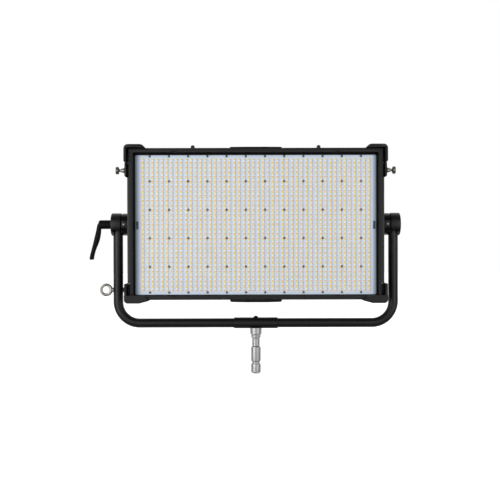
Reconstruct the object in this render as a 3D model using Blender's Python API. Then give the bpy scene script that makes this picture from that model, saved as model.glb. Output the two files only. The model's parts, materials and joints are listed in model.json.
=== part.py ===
"""LED panel light in a U-shaped yoke with a 28 mm spigot, as an assembly of separate parts.

Units are metres, +Z is up and the light faces -Y. The origin is the centre of the spigot's
lower end. The head's parts hang from an empty on the tilt axis and are given from there.
Sides are written as -1 for the left and +1 for the right.
"""

import math

import bmesh
import bpy

# Tilt axis and yoke
PIVOT_Z = 0.418
GAP = 0.0003
TUBE_R = 0.013
TUBE_WALL = 0.0025
ARM_X = 0.386
BAR_Z = 0.1413
BEND_R = 0.060
DRUM_R = 0.03175
DRUM_INNER_X = 0.376
DRUM_OUTER_X = 0.4035
STUD_R = 0.006
STUD_BORE_R = 0.0064
COLLAR_R = 0.0155
COLLAR_HALF = 0.0615
BOLT_R = 0.005
EYE_Z = 0.235
EYE_X = -0.420
EYE_RING_R = 0.014
EYE_WIRE_R = 0.004

# Spigot, from its lower end up
SPIGOT_R = 0.014
SPIGOT_GROOVE_R = 0.0111
SPIGOT_NECK_R = 0.011
SPIGOT_BLOCK_R = 0.0165
SPIGOT_TOP_Z = 0.127

# Head, from the tilt axis
FRAME_W = 0.352
FRAME_H = 0.208
FRAME_FRONT = -0.065
FRAME_BACK = -0.038
LIP_W = 0.336
LIP_H = 0.1958
LEDGE_W = 0.3323
LEDGE_H = 0.19215
LEDGE_Z = -0.00225
LEDGE_FRONT = -0.052
LEDGE_BACK = -0.044
BOARD_W = 0.3385
BOARD_H = 0.1985
BOARD_T = 0.003
RAIL_X = 0.3595
RAIL_INNER_X = 0.353
RAIL_TOP = 0.217
RAIL_BOTTOM = -0.2165
RAIL_FRONT = -0.081
RAIL_BACK = -0.020
RAIL_BASE_FRONT = -0.045
TOP_NOTCH_X = 0.3475
BOTTOM_NOTCH_X = 0.344
FLANGE_BACK = -0.077
LATCH_X = 0.3604
PLUNGER_Y = -0.060
PLUNGER_Z = 0.1465
PAD_HALF = 0.071
HUB_R = 0.031
HOUSING_W = 0.3440
HOUSING_H = 0.204
HOUSING_BACK = 0.020
FIN_TIP = 0.050
COVER_W = 0.215
COVER_H = 0.105
COVER_BACK = 0.095
COVER_WALL = 0.003
FAN_X = 0.165
FAN_FRONT = 0.0665
FAN_DEPTH = 0.025
PANEL_Z = 0.045
SOCKET_Z = -0.070
KNOB_X = 0.066
BUTTON_Z = 0.008

# The connector plate in the rear cover, and its holes as centre, half width and half height
PLATE_X = -0.005
PLATE_W = 0.105
PLATE_H = 0.0185
SOCKETS = {
    "mains_inlet": (-0.090, 0.0138, 0.0100),
    "power_switch_bezel": (-0.054, 0.0066, 0.0098),
    "data_in_socket": (-0.018, 0.0120, 0.0120),
    "data_out_socket": (0.018, 0.0120, 0.0120),
    "network_socket": (0.054, 0.0080, 0.0070),
    "usb_socket": (0.084, 0.0075, 0.0040),
}

SMOOTH = math.radians(35)


# ---------------------------------------------------------------- materials


def material(name, colour, roughness, metallic=0.0):
    made = bpy.data.materials.new(name)
    made.use_nodes = True
    shader = made.node_tree.nodes["Principled BSDF"]
    shader.inputs["Base Color"].default_value = (*colour, 1.0)
    shader.inputs["Roughness"].default_value = roughness
    shader.inputs["Metallic"].default_value = metallic
    return made


def make_materials():
    return {
        "black_paint": material("black_paint", (0.028, 0.029, 0.031), 0.45),
        "black_plastic": material("black_plastic", (0.020, 0.020, 0.022), 0.55),
        "black_gloss": material("black_gloss", (0.012, 0.013, 0.015), 0.15),
        "rubber": material("rubber", (0.015, 0.015, 0.016), 0.8),
        "steel": material("steel", (0.62, 0.61, 0.58), 0.3, 1.0),
        "spigot_metal": material("spigot_metal", (0.72, 0.72, 0.70), 0.35, 1.0),
        "fin_metal": material("fin_metal", (0.05, 0.05, 0.055), 0.5, 0.8),
        "board_white": material("board_white", (0.62, 0.68, 0.75), 0.5),
        "board_green": material("board_green", (0.02, 0.12, 0.05), 0.5),
        "tin": material("tin", (0.55, 0.56, 0.57), 0.4, 0.9),
    }


# ---------------------------------------------------------------- shape helpers


def circle(radius, count=24):
    """Points round a circle, as (u, v) pairs."""
    turns = [2 * math.pi * step / count for step in range(count)]
    return [(radius * math.cos(turn), radius * math.sin(turn)) for turn in turns]


def arc(centre, radius, start, end, steps=4):
    """Points along an arc from start to end, in degrees."""
    points = []
    for step in range(steps + 1):
        turn = math.radians(start + (end - start) * step / steps)
        points.append((centre[0] + radius * math.cos(turn), centre[1] + radius * math.sin(turn)))
    return points


def rounded_rectangle(half_u, half_v, radius, steps=3):
    points = []
    for corner, (su, sv) in enumerate(((1, 1), (-1, 1), (-1, -1), (1, -1))):
        centre = (su * (half_u - radius), sv * (half_v - radius))
        points += arc(centre, radius, 90 * corner, 90 * (corner + 1), steps)
    return points


def on_plane(outline, axis, position, centre=(0.0, 0.0)):
    """The outline's points on the plane that crosses axis at position."""
    cu, cv = centre
    if axis == "X":
        return [(position, cu + u, cv + v) for u, v in outline]
    if axis == "Y":
        return [(cu + u, position, cv + v) for u, v in outline]
    return [(cu + u, cv + v, position) for u, v in outline]


def mirrored(outline, side):
    return [(side * u, v) for u, v in outline]


def bridge(bm, first, second):
    for i in range(len(first)):
        j = (i + 1) % len(first)
        bm.faces.new((first[i], first[j], second[j], second[i]))


def add_loft(bm, loops, ring=False):
    """Adds a solid through loops of equal length. A ring joins its last loop to its first."""
    rows = [[bm.verts.new(point) for point in loop] for loop in loops]
    for first, second in zip(rows, rows[1:]):
        bridge(bm, first, second)
    if ring:
        bridge(bm, rows[-1], rows[0])
    else:
        bm.faces.new(rows[0])
        bm.faces.new(rows[-1])


def add_box(bm, low, high):
    outline = [(low[0], low[1]), (high[0], low[1]), (high[0], high[1]), (low[0], high[1])]
    add_loft(bm, [on_plane(outline, "Z", low[2]), on_plane(outline, "Z", high[2])])


def add_prism(bm, outline, axis, low, high, centre=(0.0, 0.0)):
    add_loft(bm, [on_plane(outline, axis, low, centre), on_plane(outline, axis, high, centre)])


def add_turned(bm, axis, profile, centre=(0.0, 0.0), count=24, ring=False):
    """Adds a turned solid. The profile holds (position, radius) pairs, and a ring's is closed."""
    loops = [on_plane(circle(radius, count), axis, position, centre) for position, radius in profile]
    add_loft(bm, loops, ring)


def place(name, bm, finish, parent=None, location=(0.0, 0.0, 0.0)):
    """Makes the named object from the bmesh, with its faces pointing out."""
    bmesh.ops.recalc_face_normals(bm, faces=bm.faces)
    mesh = bpy.data.meshes.new(name)
    bm.to_mesh(mesh)
    bm.free()
    mesh.materials.append(finish)
    mesh.shade_smooth()
    mesh.set_sharp_from_angle(angle=SMOOTH)
    made = bpy.data.objects.new(name, mesh)
    bpy.context.scene.collection.objects.link(made)
    made.parent = parent
    made.location = location
    return made


def turned(name, axis, profile, finish, parent=None, location=(0.0, 0.0, 0.0), **shape):
    bm = bmesh.new()
    add_turned(bm, axis, profile, **shape)
    return place(name, bm, finish, parent, location)


def bevelled(made, width, segments=1):
    step = made.modifiers.new("edges", "BEVEL")
    step.width = width
    step.segments = segments
    step.limit_method = "ANGLE"
    step.angle_limit = SMOOTH
    return made


def boolean(target, operation, bm):
    """Joins or cuts the target with the bmesh, which is kept as a wire guide."""
    tool = place(target.name + "_" + operation.lower(), bm, target.data.materials[0], target.parent)
    tool.location = target.location
    tool.hide_render = True
    tool.display_type = "WIRE"
    step = target.modifiers.new(operation.lower(), "BOOLEAN")
    step.operation = operation
    step.solver = "EXACT"
    step.object = tool
    return target


def pivot(name, location, parent=None):
    made = bpy.data.objects.new(name, None)
    bpy.context.scene.collection.objects.link(made)
    made.empty_display_size = 0.02
    made.parent = parent
    made.location = location
    return made


# ---------------------------------------------------------------- yoke


def yoke_stations():
    """Points of the tube's centre line, each with the direction that points out of its bend."""
    bend_z = BAR_Z + BEND_R
    bend_x = ARM_X - BEND_R
    stations = [((-ARM_X, PIVOT_Z - 0.018), 180.0)]
    for centre_x, start in ((-bend_x, 180.0), (bend_x, 270.0)):
        for step in range(9):
            turn = start + 90.0 * step / 8
            out = (math.cos(math.radians(turn)), math.sin(math.radians(turn)))
            stations.append(((centre_x + BEND_R * out[0], bend_z + BEND_R * out[1]), turn))
    stations.append(((ARM_X, PIVOT_Z - 0.018), 360.0))
    return stations


def tube_loop(station, radius):
    (x, z), turn = station
    out_x = math.cos(math.radians(turn))
    out_z = math.sin(math.radians(turn))
    return [(x + u * out_x, v, z + u * out_z) for u, v in circle(radius)]


def make_yoke_tube(finishes):
    """A bent tube whose ends are shaped to the drums, with holes for the bolt and the eye bolt."""
    stations = yoke_stations()
    outer = [tube_loop(station, TUBE_R) for station in stations]
    inner = [tube_loop(station, TUBE_R - TUBE_WALL) for station in reversed(stations)]
    bm = bmesh.new()
    add_loft(bm, outer + inner, ring=True)
    tube = place("yoke_tube", bm, finishes["black_paint"])
    cuts = bmesh.new()
    for side in (-1, 1):
        ends = [(side * 0.360, DRUM_R + GAP), (side * 0.425, DRUM_R + GAP)]
        add_turned(cuts, "X", ends, (0.0, PIVOT_Z), 48)
    add_turned(cuts, "X", [(-0.405, 0.0044), (-0.365, 0.0044)], (0.0, EYE_Z), 16)
    add_turned(cuts, "Z", [(0.120, 0.0054), (0.165, 0.0054)], count=16)
    boolean(tube, "DIFFERENCE", cuts)


def make_drums(finishes):
    left = [
        (DRUM_INNER_X, STUD_BORE_R),
        (DRUM_INNER_X, DRUM_R - 0.0015),
        (DRUM_INNER_X + 0.0015, DRUM_R),
        (DRUM_OUTER_X - 0.0025, DRUM_R),
        (DRUM_OUTER_X - 0.0008, DRUM_R - 0.0008),
        (DRUM_OUTER_X, DRUM_R - 0.0025),
        (DRUM_OUTER_X, STUD_BORE_R),
    ]
    right = left[:-1] + [(DRUM_OUTER_X, 0.0153), (0.3945, 0.0153), (0.3945, STUD_BORE_R)]
    for name, side, profile in (("left_yoke_drum", -1, left), ("right_yoke_drum", 1, right)):
        points = [(side * x, radius) for x, radius in profile]
        turned(name, "X", points, finishes["black_paint"], centre=(0.0, PIVOT_Z), count=32, ring=True)


def make_friction_discs(finishes):
    for name, side in (("left_friction_disc", -1), ("right_friction_disc", 1)):
        profile = [(0.3739, STUD_BORE_R), (0.3739, 0.027), (0.3757, 0.027), (0.3757, STUD_BORE_R)]
        points = [(side * x, radius) for x, radius in profile]
        turned(name, "X", points, finishes["rubber"], centre=(0.0, PIVOT_Z), ring=True)


def make_right_pivot(finishes):
    bolt = [(0.353, STUD_R - 0.001), (0.354, STUD_R), (0.3948, STUD_R)]
    bolt += [(0.3948, 0.010), (0.3991, 0.010)]
    turned("right_pivot_bolt", "X", bolt, finishes["steel"], centre=(0.0, PIVOT_Z), count=20)
    cap = [(0.3995, 0.015), (0.4029, 0.015), (0.4035, 0.0144)]
    turned("right_pivot_cap", "X", cap, finishes["black_plastic"], centre=(0.0, PIVOT_Z))


def make_collar(finishes):
    bore = TUBE_R + GAP
    half = [(COLLAR_HALF, bore), (COLLAR_HALF, COLLAR_R - 0.001), (COLLAR_HALF - 0.001, COLLAR_R)]
    profile = half + [(-x, radius) for x, radius in reversed(half)]
    collar = turned(
        "yoke_collar", "X", profile, finishes["black_paint"], centre=(0.0, BAR_Z), ring=True
    )
    cut = bmesh.new()
    add_turned(cut, "Z", [(0.120, 0.0054), (0.165, 0.0054)], count=16)
    boolean(collar, "DIFFERENCE", cut)


def make_spigot(finishes):
    """The 28 mm spigot, with a retaining groove near its end and a saddle under the collar."""
    profile = [
        (0.0, SPIGOT_R - 0.0040),
        (0.0008, SPIGOT_R - 0.0020),
        (0.0022, SPIGOT_R - 0.0006),
        (0.0040, SPIGOT_R),
        (0.0259, SPIGOT_R),
        (0.0275, SPIGOT_GROOVE_R),
        (0.0323, SPIGOT_GROOVE_R),
        (0.0348, SPIGOT_R),
        (0.0740, SPIGOT_R),
        (0.0770, SPIGOT_NECK_R),
        (0.0984, SPIGOT_NECK_R),
        (0.1010, SPIGOT_R),
        (0.1085, SPIGOT_R),
        (0.1102, SPIGOT_BLOCK_R),
        (SPIGOT_TOP_Z, SPIGOT_BLOCK_R),
    ]
    spigot = turned("spigot", "Z", profile, finishes["spigot_metal"], count=32)
    cuts = bmesh.new()
    saddle = [(-0.030, COLLAR_R + GAP), (0.030, COLLAR_R + GAP)]
    add_turned(cuts, "X", saddle, (0.0, BAR_Z), 48)
    boolean(spigot, "DIFFERENCE", cuts)
    hole = bmesh.new()
    add_turned(hole, "Z", [(0.105, 0.0054), (0.140, 0.0054)], count=16)
    boolean(spigot, "DIFFERENCE", hole)
    head_z = BAR_Z + COLLAR_R + GAP
    bolt = [
        (0.106, BOLT_R),
        (head_z, BOLT_R),
        (head_z, 0.0078),
        (head_z + 0.0022, 0.0074),
        (head_z + 0.0042, 0.0052),
        (head_z + 0.0050, 0.0028),
    ]
    turned("spigot_bolt", "Z", bolt, finishes["black_paint"], count=20)


def make_eye_bolt(finishes):
    """A ring on a collared shank that goes through the left arm, and its thin nut inside."""
    bm = bmesh.new()
    loops = []
    for step in range(24):
        turn = 2 * math.pi * step / 24
        out = (math.cos(turn), math.sin(turn))
        loops.append(
            [
                (EYE_X + (EYE_RING_R + u) * out[0], v, EYE_Z + (EYE_RING_R + u) * out[1])
                for u, v in circle(EYE_WIRE_R, 10)
            ]
        )
    add_loft(bm, loops, ring=True)
    eye = place("eye_bolt", bm, finishes["steel"])
    shank = bmesh.new()
    profile = [(-0.4055, 0.0036), (-0.4025, 0.0060), (-0.3993, 0.0060)]
    profile += [(-0.3993, 0.0040), (-0.3675, 0.0040)]
    add_turned(shank, "X", profile, (0.0, EYE_Z), 16)
    boolean(eye, "UNION", shank)
    nut = [(-0.3727, 0.0044), (-0.3727, 0.0075), (-0.3690, 0.0075), (-0.3690, 0.0044)]
    turned("eye_bolt_nut", "X", nut, finishes["steel"], centre=(0.0, EYE_Z), count=12, ring=True)


def make_yoke(finishes):
    make_yoke_tube(finishes)
    make_drums(finishes)
    make_friction_discs(finishes)
    make_right_pivot(finishes)
    make_collar(finishes)
    make_spigot(finishes)
    make_eye_bolt(finishes)


# ---------------------------------------------------------------- clamp lever


def make_clamp(finishes):
    """The threaded stud with its insert, and the lever that lifts off the insert to be re-set."""
    axis = pivot("clamp_axis", (0.0, 0.0, PIVOT_Z))
    stud = [
        (-0.353, STUD_R - 0.001),
        (-0.354, STUD_R),
        (-0.412, STUD_R),
        (-0.412, 0.0080),
        (-0.427, 0.0080),
    ]
    turned("clamp_stud", "X", stud, finishes["steel"], axis, count=20)

    arm_stations = [
        (0.0060, -0.4370, 0.0028, 0.0050),
        (0.0010, -0.4402, 0.0052, 0.0070),
        (-0.0140, -0.4414, 0.0068, 0.0078),
        (-0.0270, -0.4428, 0.0080, 0.0076),
        (-0.0400, -0.4452, 0.0084, 0.0072),
        (-0.0520, -0.4484, 0.0080, 0.0069),
        (-0.0705, -0.4542, 0.0064, 0.0064),
        (-0.0830, -0.4575, 0.0065, 0.0062),
        (-0.0930, -0.4597, 0.0070, 0.0060),
        (-0.0970, -0.4604, 0.0056, 0.0046),
        (-0.0985, -0.4606, 0.0030, 0.0025),
    ]
    arm = bmesh.new()
    loops = []
    for z, centre_x, half_x, half_y in arm_stations:
        loops.append([(centre_x + half_x * u, half_y * v, z) for u, v in circle(1.0, 16)])
    add_loft(arm, loops)
    hub = [(-0.4043, 0.0112), (-0.4055, 0.0125), (-0.4355, 0.0125)]
    hub += [(-0.4387, 0.0112), (-0.4403, 0.0085)]
    lever = turned("clamp_lever", "X", hub, finishes["black_plastic"], axis)
    boolean(lever, "UNION", arm)
    bore = bmesh.new()
    add_turned(bore, "X", [(-0.400, 0.0084), (-0.4315, 0.0084)], count=20)
    boolean(lever, "DIFFERENCE", bore)


# ---------------------------------------------------------------- head, front


def make_front_frame(finishes, head):
    """The stepped frame: a front lip, a ledge behind it and a recess for the board at the back."""
    loops = []
    for half_w, half_h, centre_z, radius, y in (
        (FRAME_W - 0.001, FRAME_H - 0.001, 0.0, 0.002, FRAME_FRONT),
        (FRAME_W, FRAME_H, 0.0, 0.002, FRAME_FRONT + 0.001),
        (FRAME_W, FRAME_H, 0.0, 0.002, FRAME_BACK),
        (BOARD_W, BOARD_H, 0.0, 0.002, FRAME_BACK),
        (BOARD_W, BOARD_H, 0.0, 0.002, LEDGE_BACK),
        (LEDGE_W, LEDGE_H, LEDGE_Z, 0.003, LEDGE_BACK),
        (LEDGE_W, LEDGE_H, LEDGE_Z, 0.003, LEDGE_FRONT),
        (LIP_W - 0.001, LIP_H - 0.0005, 0.0, 0.003, LEDGE_FRONT),
        (LIP_W, LIP_H, 0.0, 0.003, FRAME_FRONT + 0.001),
        (LIP_W + 0.001, LIP_H + 0.001, 0.0, 0.003, FRAME_FRONT),
    ):
        outline = rounded_rectangle(half_w, half_h, radius, 2)
        loops.append(on_plane(outline, "Y", y, (0.0, centre_z)))
    bm = bmesh.new()
    add_loft(bm, loops, ring=True)
    frame = place("front_frame", bm, finishes["black_paint"], head)
    cuts = bmesh.new()
    for side in (-1, 1):
        top = (TOP_NOTCH_X, 0.1272, 0.230)
        bottom = (BOTTOM_NOTCH_X, -0.230, -0.1627)
        for notch_x, low_z, high_z in (top, bottom):
            edges = sorted((side * notch_x, side * 0.370))
            add_box(cuts, (edges[0], -0.070, low_z), (edges[1], -0.030, high_z))
        for up in (-1, 1):
            span = sorted((up * (LIP_H - 0.003), up * (LIP_H + 0.0035)))
            left = side * 0.222 - 0.0085
            add_box(cuts, (left, -0.070, span[0]), (left + 0.017, -0.0565, span[1]))
    boolean(frame, "DIFFERENCE", cuts)


def make_led_board(finishes, head):
    board = bmesh.new()
    outline = rounded_rectangle(BOARD_W - GAP, BOARD_H - GAP, 0.002, 1)
    add_prism(board, outline, "Y", LEDGE_BACK + GAP, LEDGE_BACK + GAP + BOARD_T)
    place("led_board", board, finishes["board_white"], head)
    front = LEDGE_BACK
    for name, side in (("left_board_connector", -1), ("right_board_connector", 1)):
        plug = bmesh.new()
        outline = rounded_rectangle(0.003, 0.011, 0.0008, 1)
        add_prism(plug, outline, "Y", front - 0.0035, front, (side * 0.3265, -0.003))
        place(name, plug, finishes["black_plastic"], head)


def rail_outline(side):
    """A top rail seen from the front: down the side, round the corner and along the top."""
    corner = 0.0115
    points = [(RAIL_INNER_X, 0.1685), (0.3575, 0.1685), (RAIL_X, 0.1750)]
    points += arc((RAIL_X - corner, RAIL_TOP - corner), corner, 0, 90)
    points += [(0.314, RAIL_TOP), (0.3075, 0.2145), (0.302, 0.2083), (RAIL_INNER_X, 0.2083)]
    return mirrored(points, side)


def make_top_bracket(name, side, finishes, head):
    bm = bmesh.new()
    add_prism(bm, rail_outline(side), "Y", RAIL_FRONT, RAIL_BACK)
    bracket = bevelled(place(name, bm, finishes["black_paint"], head), 0.0015, 2)
    base = bmesh.new()
    edges = sorted((side * (TOP_NOTCH_X + GAP), side * 0.356))
    add_box(base, (edges[0], RAIL_BASE_FRONT, 0.1700), (edges[1], RAIL_BACK - 0.002, 0.2130))
    boolean(bracket, "UNION", base)


def pocket_corner(side):
    corner = 0.0105
    return arc((RAIL_X - corner, RAIL_BOTTOM + corner), corner, 0, -90)


def make_bottom_bracket(name, side, finishes, head):
    """A bottom pocket: an outer lip and floor, closed in front by a flange."""
    points = [(RAIL_INNER_X, -0.1630), (0.3580, -0.1630), (RAIL_X, -0.1650)] + pocket_corner(side)
    points += [(0.317, RAIL_BOTTOM), (0.293, -0.2100), (0.293, -0.2083), (RAIL_INNER_X, -0.2083)]
    bm = bmesh.new()
    add_prism(bm, mirrored(points, side), "Y", FLANGE_BACK - 0.001, RAIL_BACK)
    bracket = bevelled(place(name, bm, finishes["black_paint"], head), 0.0010, 1)
    flange_points = [(RAIL_X, -0.1950)] + pocket_corner(side)
    flange_points += [(0.317, RAIL_BOTTOM), (0.2925, -0.2090), (0.2990, -0.2040), (0.3080, -0.1950)]
    flange = bmesh.new()
    add_prism(flange, mirrored(flange_points, side), "Y", RAIL_FRONT, FLANGE_BACK)
    edges = sorted((side * (BOTTOM_NOTCH_X + GAP), side * 0.356))
    add_box(flange, (edges[0], RAIL_BASE_FRONT, -0.2120), (edges[1], RAIL_BACK - 0.002, -0.1650))
    boolean(bracket, "UNION", flange)


def make_latch_block(name, side, finishes, head):
    """The block under a top rail that carries the plunger, with a groove like the rail's."""
    points = [(RAIL_INNER_X, 0.1275), (0.3565, 0.1275), (LATCH_X, 0.1310), (LATCH_X, 0.1655)]
    points += [(0.3585, 0.1682), (RAIL_INNER_X, 0.1682)]
    bm = bmesh.new()
    add_prism(bm, mirrored(points, side), "Y", -0.074, -0.022)
    block = bevelled(place(name, bm, finishes["black_plastic"], head), 0.0008, 1)
    base = bmesh.new()
    edges = sorted((side * (TOP_NOTCH_X + GAP), side * 0.356))
    add_box(base, (edges[0], RAIL_BASE_FRONT, 0.1290), (edges[1], -0.024, 0.1670))
    boolean(block, "UNION", base)
    bore = bmesh.new()
    add_turned(bore, "X", [(side * 0.340, 0.0048), (side * 0.366, 0.0048)], (PLUNGER_Y, PLUNGER_Z), 16)
    boolean(block, "DIFFERENCE", bore)


def make_plunger(side_name, side, finishes, head):
    """A cone-shaped bush screwed into the block, and the knob whose pin slides through it."""
    bush = [(0.3532, 0.0030), (0.3532, 0.0045), (0.3607, 0.0045), (0.3607, 0.0084), (0.3622, 0.0084)]
    bush += [(0.3700, 0.0046), (0.3700, 0.0030)]
    points = [(side * x, radius) for x, radius in bush]
    turned(
        side_name + "_plunger_bush", "X", points, finishes["steel"], head,
        centre=(PLUNGER_Y, PLUNGER_Z), count=20, ring=True,
    )
    axis = pivot(side_name + "_plunger_axis", (0.0, PLUNGER_Y, PLUNGER_Z), head)
    knob = [(0.3508, 0.0020), (0.3515, 0.0026), (0.3728, 0.0026), (0.3735, 0.0085), (0.3745, 0.0105)]
    knob += [(0.3820, 0.0105), (0.3832, 0.0090)]
    points = [(side * x, radius) for x, radius in knob]
    turned(side_name + "_pull_knob", "X", points, finishes["steel"], axis, count=20)


def make_edge_fittings(finishes, head):
    """Pads in the middle of the long edges, and two domed studs on the top edge."""
    for name, up, end, middle in (("top_pad", 1, 0.2098, 0.2107), ("bottom_pad", -1, 0.2138, 0.2148)):
        outline = [(-PAD_HALF, up * 0.2083), (PAD_HALF, up * 0.2083)]
        outline += [(0.0695, up * end), (0.030, up * middle)]
        outline += [(-0.030, up * middle), (-0.0695, up * end)]
        bm = bmesh.new()
        add_prism(bm, outline, "Y", -0.0655, -0.0385)
        place(name, bm, finishes["rubber"], head)
    dome = [(0.2083, 0.0052), (0.2128, 0.0056), (0.2154, 0.0048), (0.2168, 0.0026)]
    for name, side in (("left_top_stud", -1), ("right_top_stud", 1)):
        turned(name, "Z", dome, finishes["black_gloss"], head, centre=(side * 0.173, -0.050), count=16)


def make_hub_discs(finishes, head):
    start = HOUSING_W + GAP
    profile = [(start, STUD_BORE_R), (start, HUB_R), (0.3724, HUB_R)]
    profile += [(0.3736, HUB_R - 0.0012), (0.3736, STUD_BORE_R)]
    for name, side in (("left_hub_disc", -1), ("right_hub_disc", 1)):
        points = [(side * x, radius) for x, radius in profile]
        turned(name, "X", points, finishes["black_gloss"], head, count=32, ring=True)


# ---------------------------------------------------------------- head, casing and inside


def button_x(button):
    """The four menu buttons stand in a row under the display."""
    return -0.027 + 0.018 * button


def make_housing(finishes, head):
    """The cast tray behind the front frame, open to the front."""
    wall = 0.0028
    front = FRAME_BACK + GAP
    loops = []
    for inset, y in (
        (wall, HOUSING_BACK - 0.004),
        (wall, front),
        (0.0, front),
        (0.0, HOUSING_BACK - 0.008),
        (0.008, HOUSING_BACK),
    ):
        outline = rounded_rectangle(HOUSING_W - inset, HOUSING_H - inset, 0.012 - inset, 3)
        loops.append(on_plane(outline, "Y", y))
    bm = bmesh.new()
    add_loft(bm, loops)
    place("housing", bm, finishes["black_paint"], head)
    driver = bmesh.new()
    add_box(driver, (-0.150, -0.020, -0.060), (0.150, -0.0184, 0.060))
    board = place("led_driver_board", driver, finishes["board_green"], head)
    blocks = bmesh.new()
    for column in range(6):
        x = -0.125 + 0.050 * column
        add_box(blocks, (x - 0.012, -0.019, -0.030), (x + 0.012, -0.008, 0.010))
    boolean(board, "UNION", blocks)


def make_heat_sink(finishes, head):
    """A plate with upright fins, drawn as a comb and extruded upwards. Its end fins are flush."""
    back = HOUSING_BACK + GAP
    root = back + 0.0045
    half_w = 0.325
    half_fin = 0.001
    fins = 31
    reach = half_w - half_fin
    points = [(-half_w, back), (half_w, back)]
    for fin in range(fins):
        centre = reach - 2 * reach * fin / (fins - 1)
        if fin > 0:
            points.append((centre + half_fin, root))
        points += [(centre + half_fin, FIN_TIP), (centre - half_fin, FIN_TIP)]
        if fin < fins - 1:
            points.append((centre - half_fin, root))
    bm = bmesh.new()
    add_prism(bm, points, "Z", -0.185, 0.185)
    place("heat_sink", bm, finishes["fin_metal"], head)


def cover_openings():
    """The holes in the rear cover: fan slots, display, knobs, buttons and connector plate."""
    cuts = bmesh.new()
    low_y = COVER_BACK - 0.010
    high_y = COVER_BACK + 0.010
    for side in (-1, 1):
        for row in range(-3, 4):
            half = math.sqrt(0.036 ** 2 - (0.010 * row) ** 2)
            z = 0.010 * row
            low = (side * FAN_X - half, low_y, z - 0.003)
            high = (side * FAN_X + half, high_y, z + 0.003)
            add_box(cuts, low, high)
        add_turned(cuts, "Y", [(low_y, 0.0038), (high_y, 0.0038)], (side * KNOB_X, PANEL_Z), 12)
    add_box(cuts, (-0.0383, low_y, PANEL_Z - 0.0223), (0.0383, high_y, PANEL_Z + 0.0223))
    for button in range(4):
        place_of = (button_x(button), BUTTON_Z)
        add_turned(cuts, "Y", [(low_y, 0.0052), (high_y, 0.0052)], place_of, 12)
    window = rounded_rectangle(PLATE_W + GAP, PLATE_H + GAP, 0.003)
    add_prism(cuts, window, "Y", low_y, high_y, (PLATE_X, SOCKET_Z))
    return cuts


def make_rear_cover(finishes, head):
    loops = []
    for inset, y in (
        (COVER_WALL, COVER_BACK - COVER_WALL),
        (COVER_WALL, FIN_TIP + 0.0004),
        (0.0, FIN_TIP + 0.0004),
        (0.0, COVER_BACK - 0.006),
        (0.006, COVER_BACK),
    ):
        outline = rounded_rectangle(COVER_W - inset, COVER_H - inset, 0.012 - inset / 2, 3)
        loops.append(on_plane(outline, "Y", y))
    bm = bmesh.new()
    add_loft(bm, loops)
    cover = place("rear_cover", bm, finishes["black_paint"], head)
    boolean(cover, "DIFFERENCE", cover_openings())


def blade_section(turn, radius, twist, low_y, high_y):
    """A fan blade's four corners at one radius, slanted from its front to its back."""
    corners = ((-twist, low_y), (-twist + 0.06, low_y), (twist, high_y), (twist - 0.06, high_y))
    points = []
    for angle, y in corners:
        points.append((radius * math.cos(turn + angle), y, radius * math.sin(turn + angle)))
    return points


def make_connector_plate(finishes, head):
    """A flat plate set into the rear cover, with a hole for each socket and for the switch."""
    bm = bmesh.new()
    outline = rounded_rectangle(PLATE_W, PLATE_H, 0.003)
    add_prism(bm, outline, "Y", COVER_BACK - 0.0029, COVER_BACK + 0.0001, (PLATE_X, SOCKET_Z))
    plate = place("connector_plate", bm, finishes["black_paint"], head)
    holes = bmesh.new()
    for centre_x, half_w, half_h in SOCKETS.values():
        low = (centre_x - half_w - GAP, COVER_BACK - 0.010, SOCKET_Z - half_h - GAP)
        high = (centre_x + half_w + GAP, COVER_BACK + 0.010, SOCKET_Z + half_h + GAP)
        add_box(holes, low, high)
    boolean(plate, "DIFFERENCE", holes)


def make_fan(side_name, side, finishes, head):
    """A square fan frame with struts to its motor cup, and a seven-bladed rotor."""
    back = FAN_FRONT + FAN_DEPTH
    centre = (side * FAN_X, 0.0)
    square = []
    for u, v in circle(1.0, 24):
        scale = 0.040 / max(abs(u), abs(v))
        square.append((u * scale, v * scale))
    loops = [
        on_plane(square, "Y", FAN_FRONT, centre),
        on_plane(square, "Y", back, centre),
        on_plane(circle(0.0375), "Y", back, centre),
        on_plane(circle(0.0375), "Y", FAN_FRONT, centre),
    ]
    bm = bmesh.new()
    add_loft(bm, loops, ring=True)
    frame = place(side_name + "_fan_frame", bm, finishes["black_plastic"], head)
    struts = bmesh.new()
    low = (centre[0] - 0.0385, FAN_FRONT + 0.0005, -0.002)
    high = (centre[0] + 0.0385, FAN_FRONT + 0.003, 0.002)
    add_box(struts, low, high)
    cup = bmesh.new()
    add_turned(cup, "Y", [(FAN_FRONT + 0.0003, 0.014), (FAN_FRONT + 0.0035, 0.014)], centre, 16)
    boolean(frame, "UNION", struts)
    boolean(frame, "UNION", cup)

    axis = pivot(side_name + "_fan_axis", (centre[0], 0.0, 0.0), head)
    low_y = FAN_FRONT + 0.005
    high_y = back - 0.003
    hub = bmesh.new()
    add_turned(hub, "Y", [(low_y, 0.0150), (high_y - 0.002, 0.0150), (high_y, 0.0130)], count=20)
    rotor = place(side_name + "_fan_rotor", hub, finishes["black_plastic"], axis)
    blades = bmesh.new()
    for blade in range(7):
        turn = 2 * math.pi * blade / 7
        root = blade_section(turn, 0.012, 0.40, low_y + 0.002, high_y - 0.002)
        tip = blade_section(turn, 0.0355, 0.25, low_y + 0.002, high_y - 0.002)
        add_loft(blades, [root, tip])
    boolean(rotor, "UNION", blades)


def make_electronics(finishes, head):
    supply = bmesh.new()
    add_box(supply, (-0.095, 0.053, -0.040), (0.095, 0.077, 0.098))
    bevelled(place("power_supply", supply, finishes["tin"], head), 0.002, 1)
    board = bmesh.new()
    add_box(board, (-0.090, 0.0800, 0.018), (0.090, 0.0816, 0.095))
    place("control_board", board, finishes["board_green"], head)


# ---------------------------------------------------------------- rear controls and sockets


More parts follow.
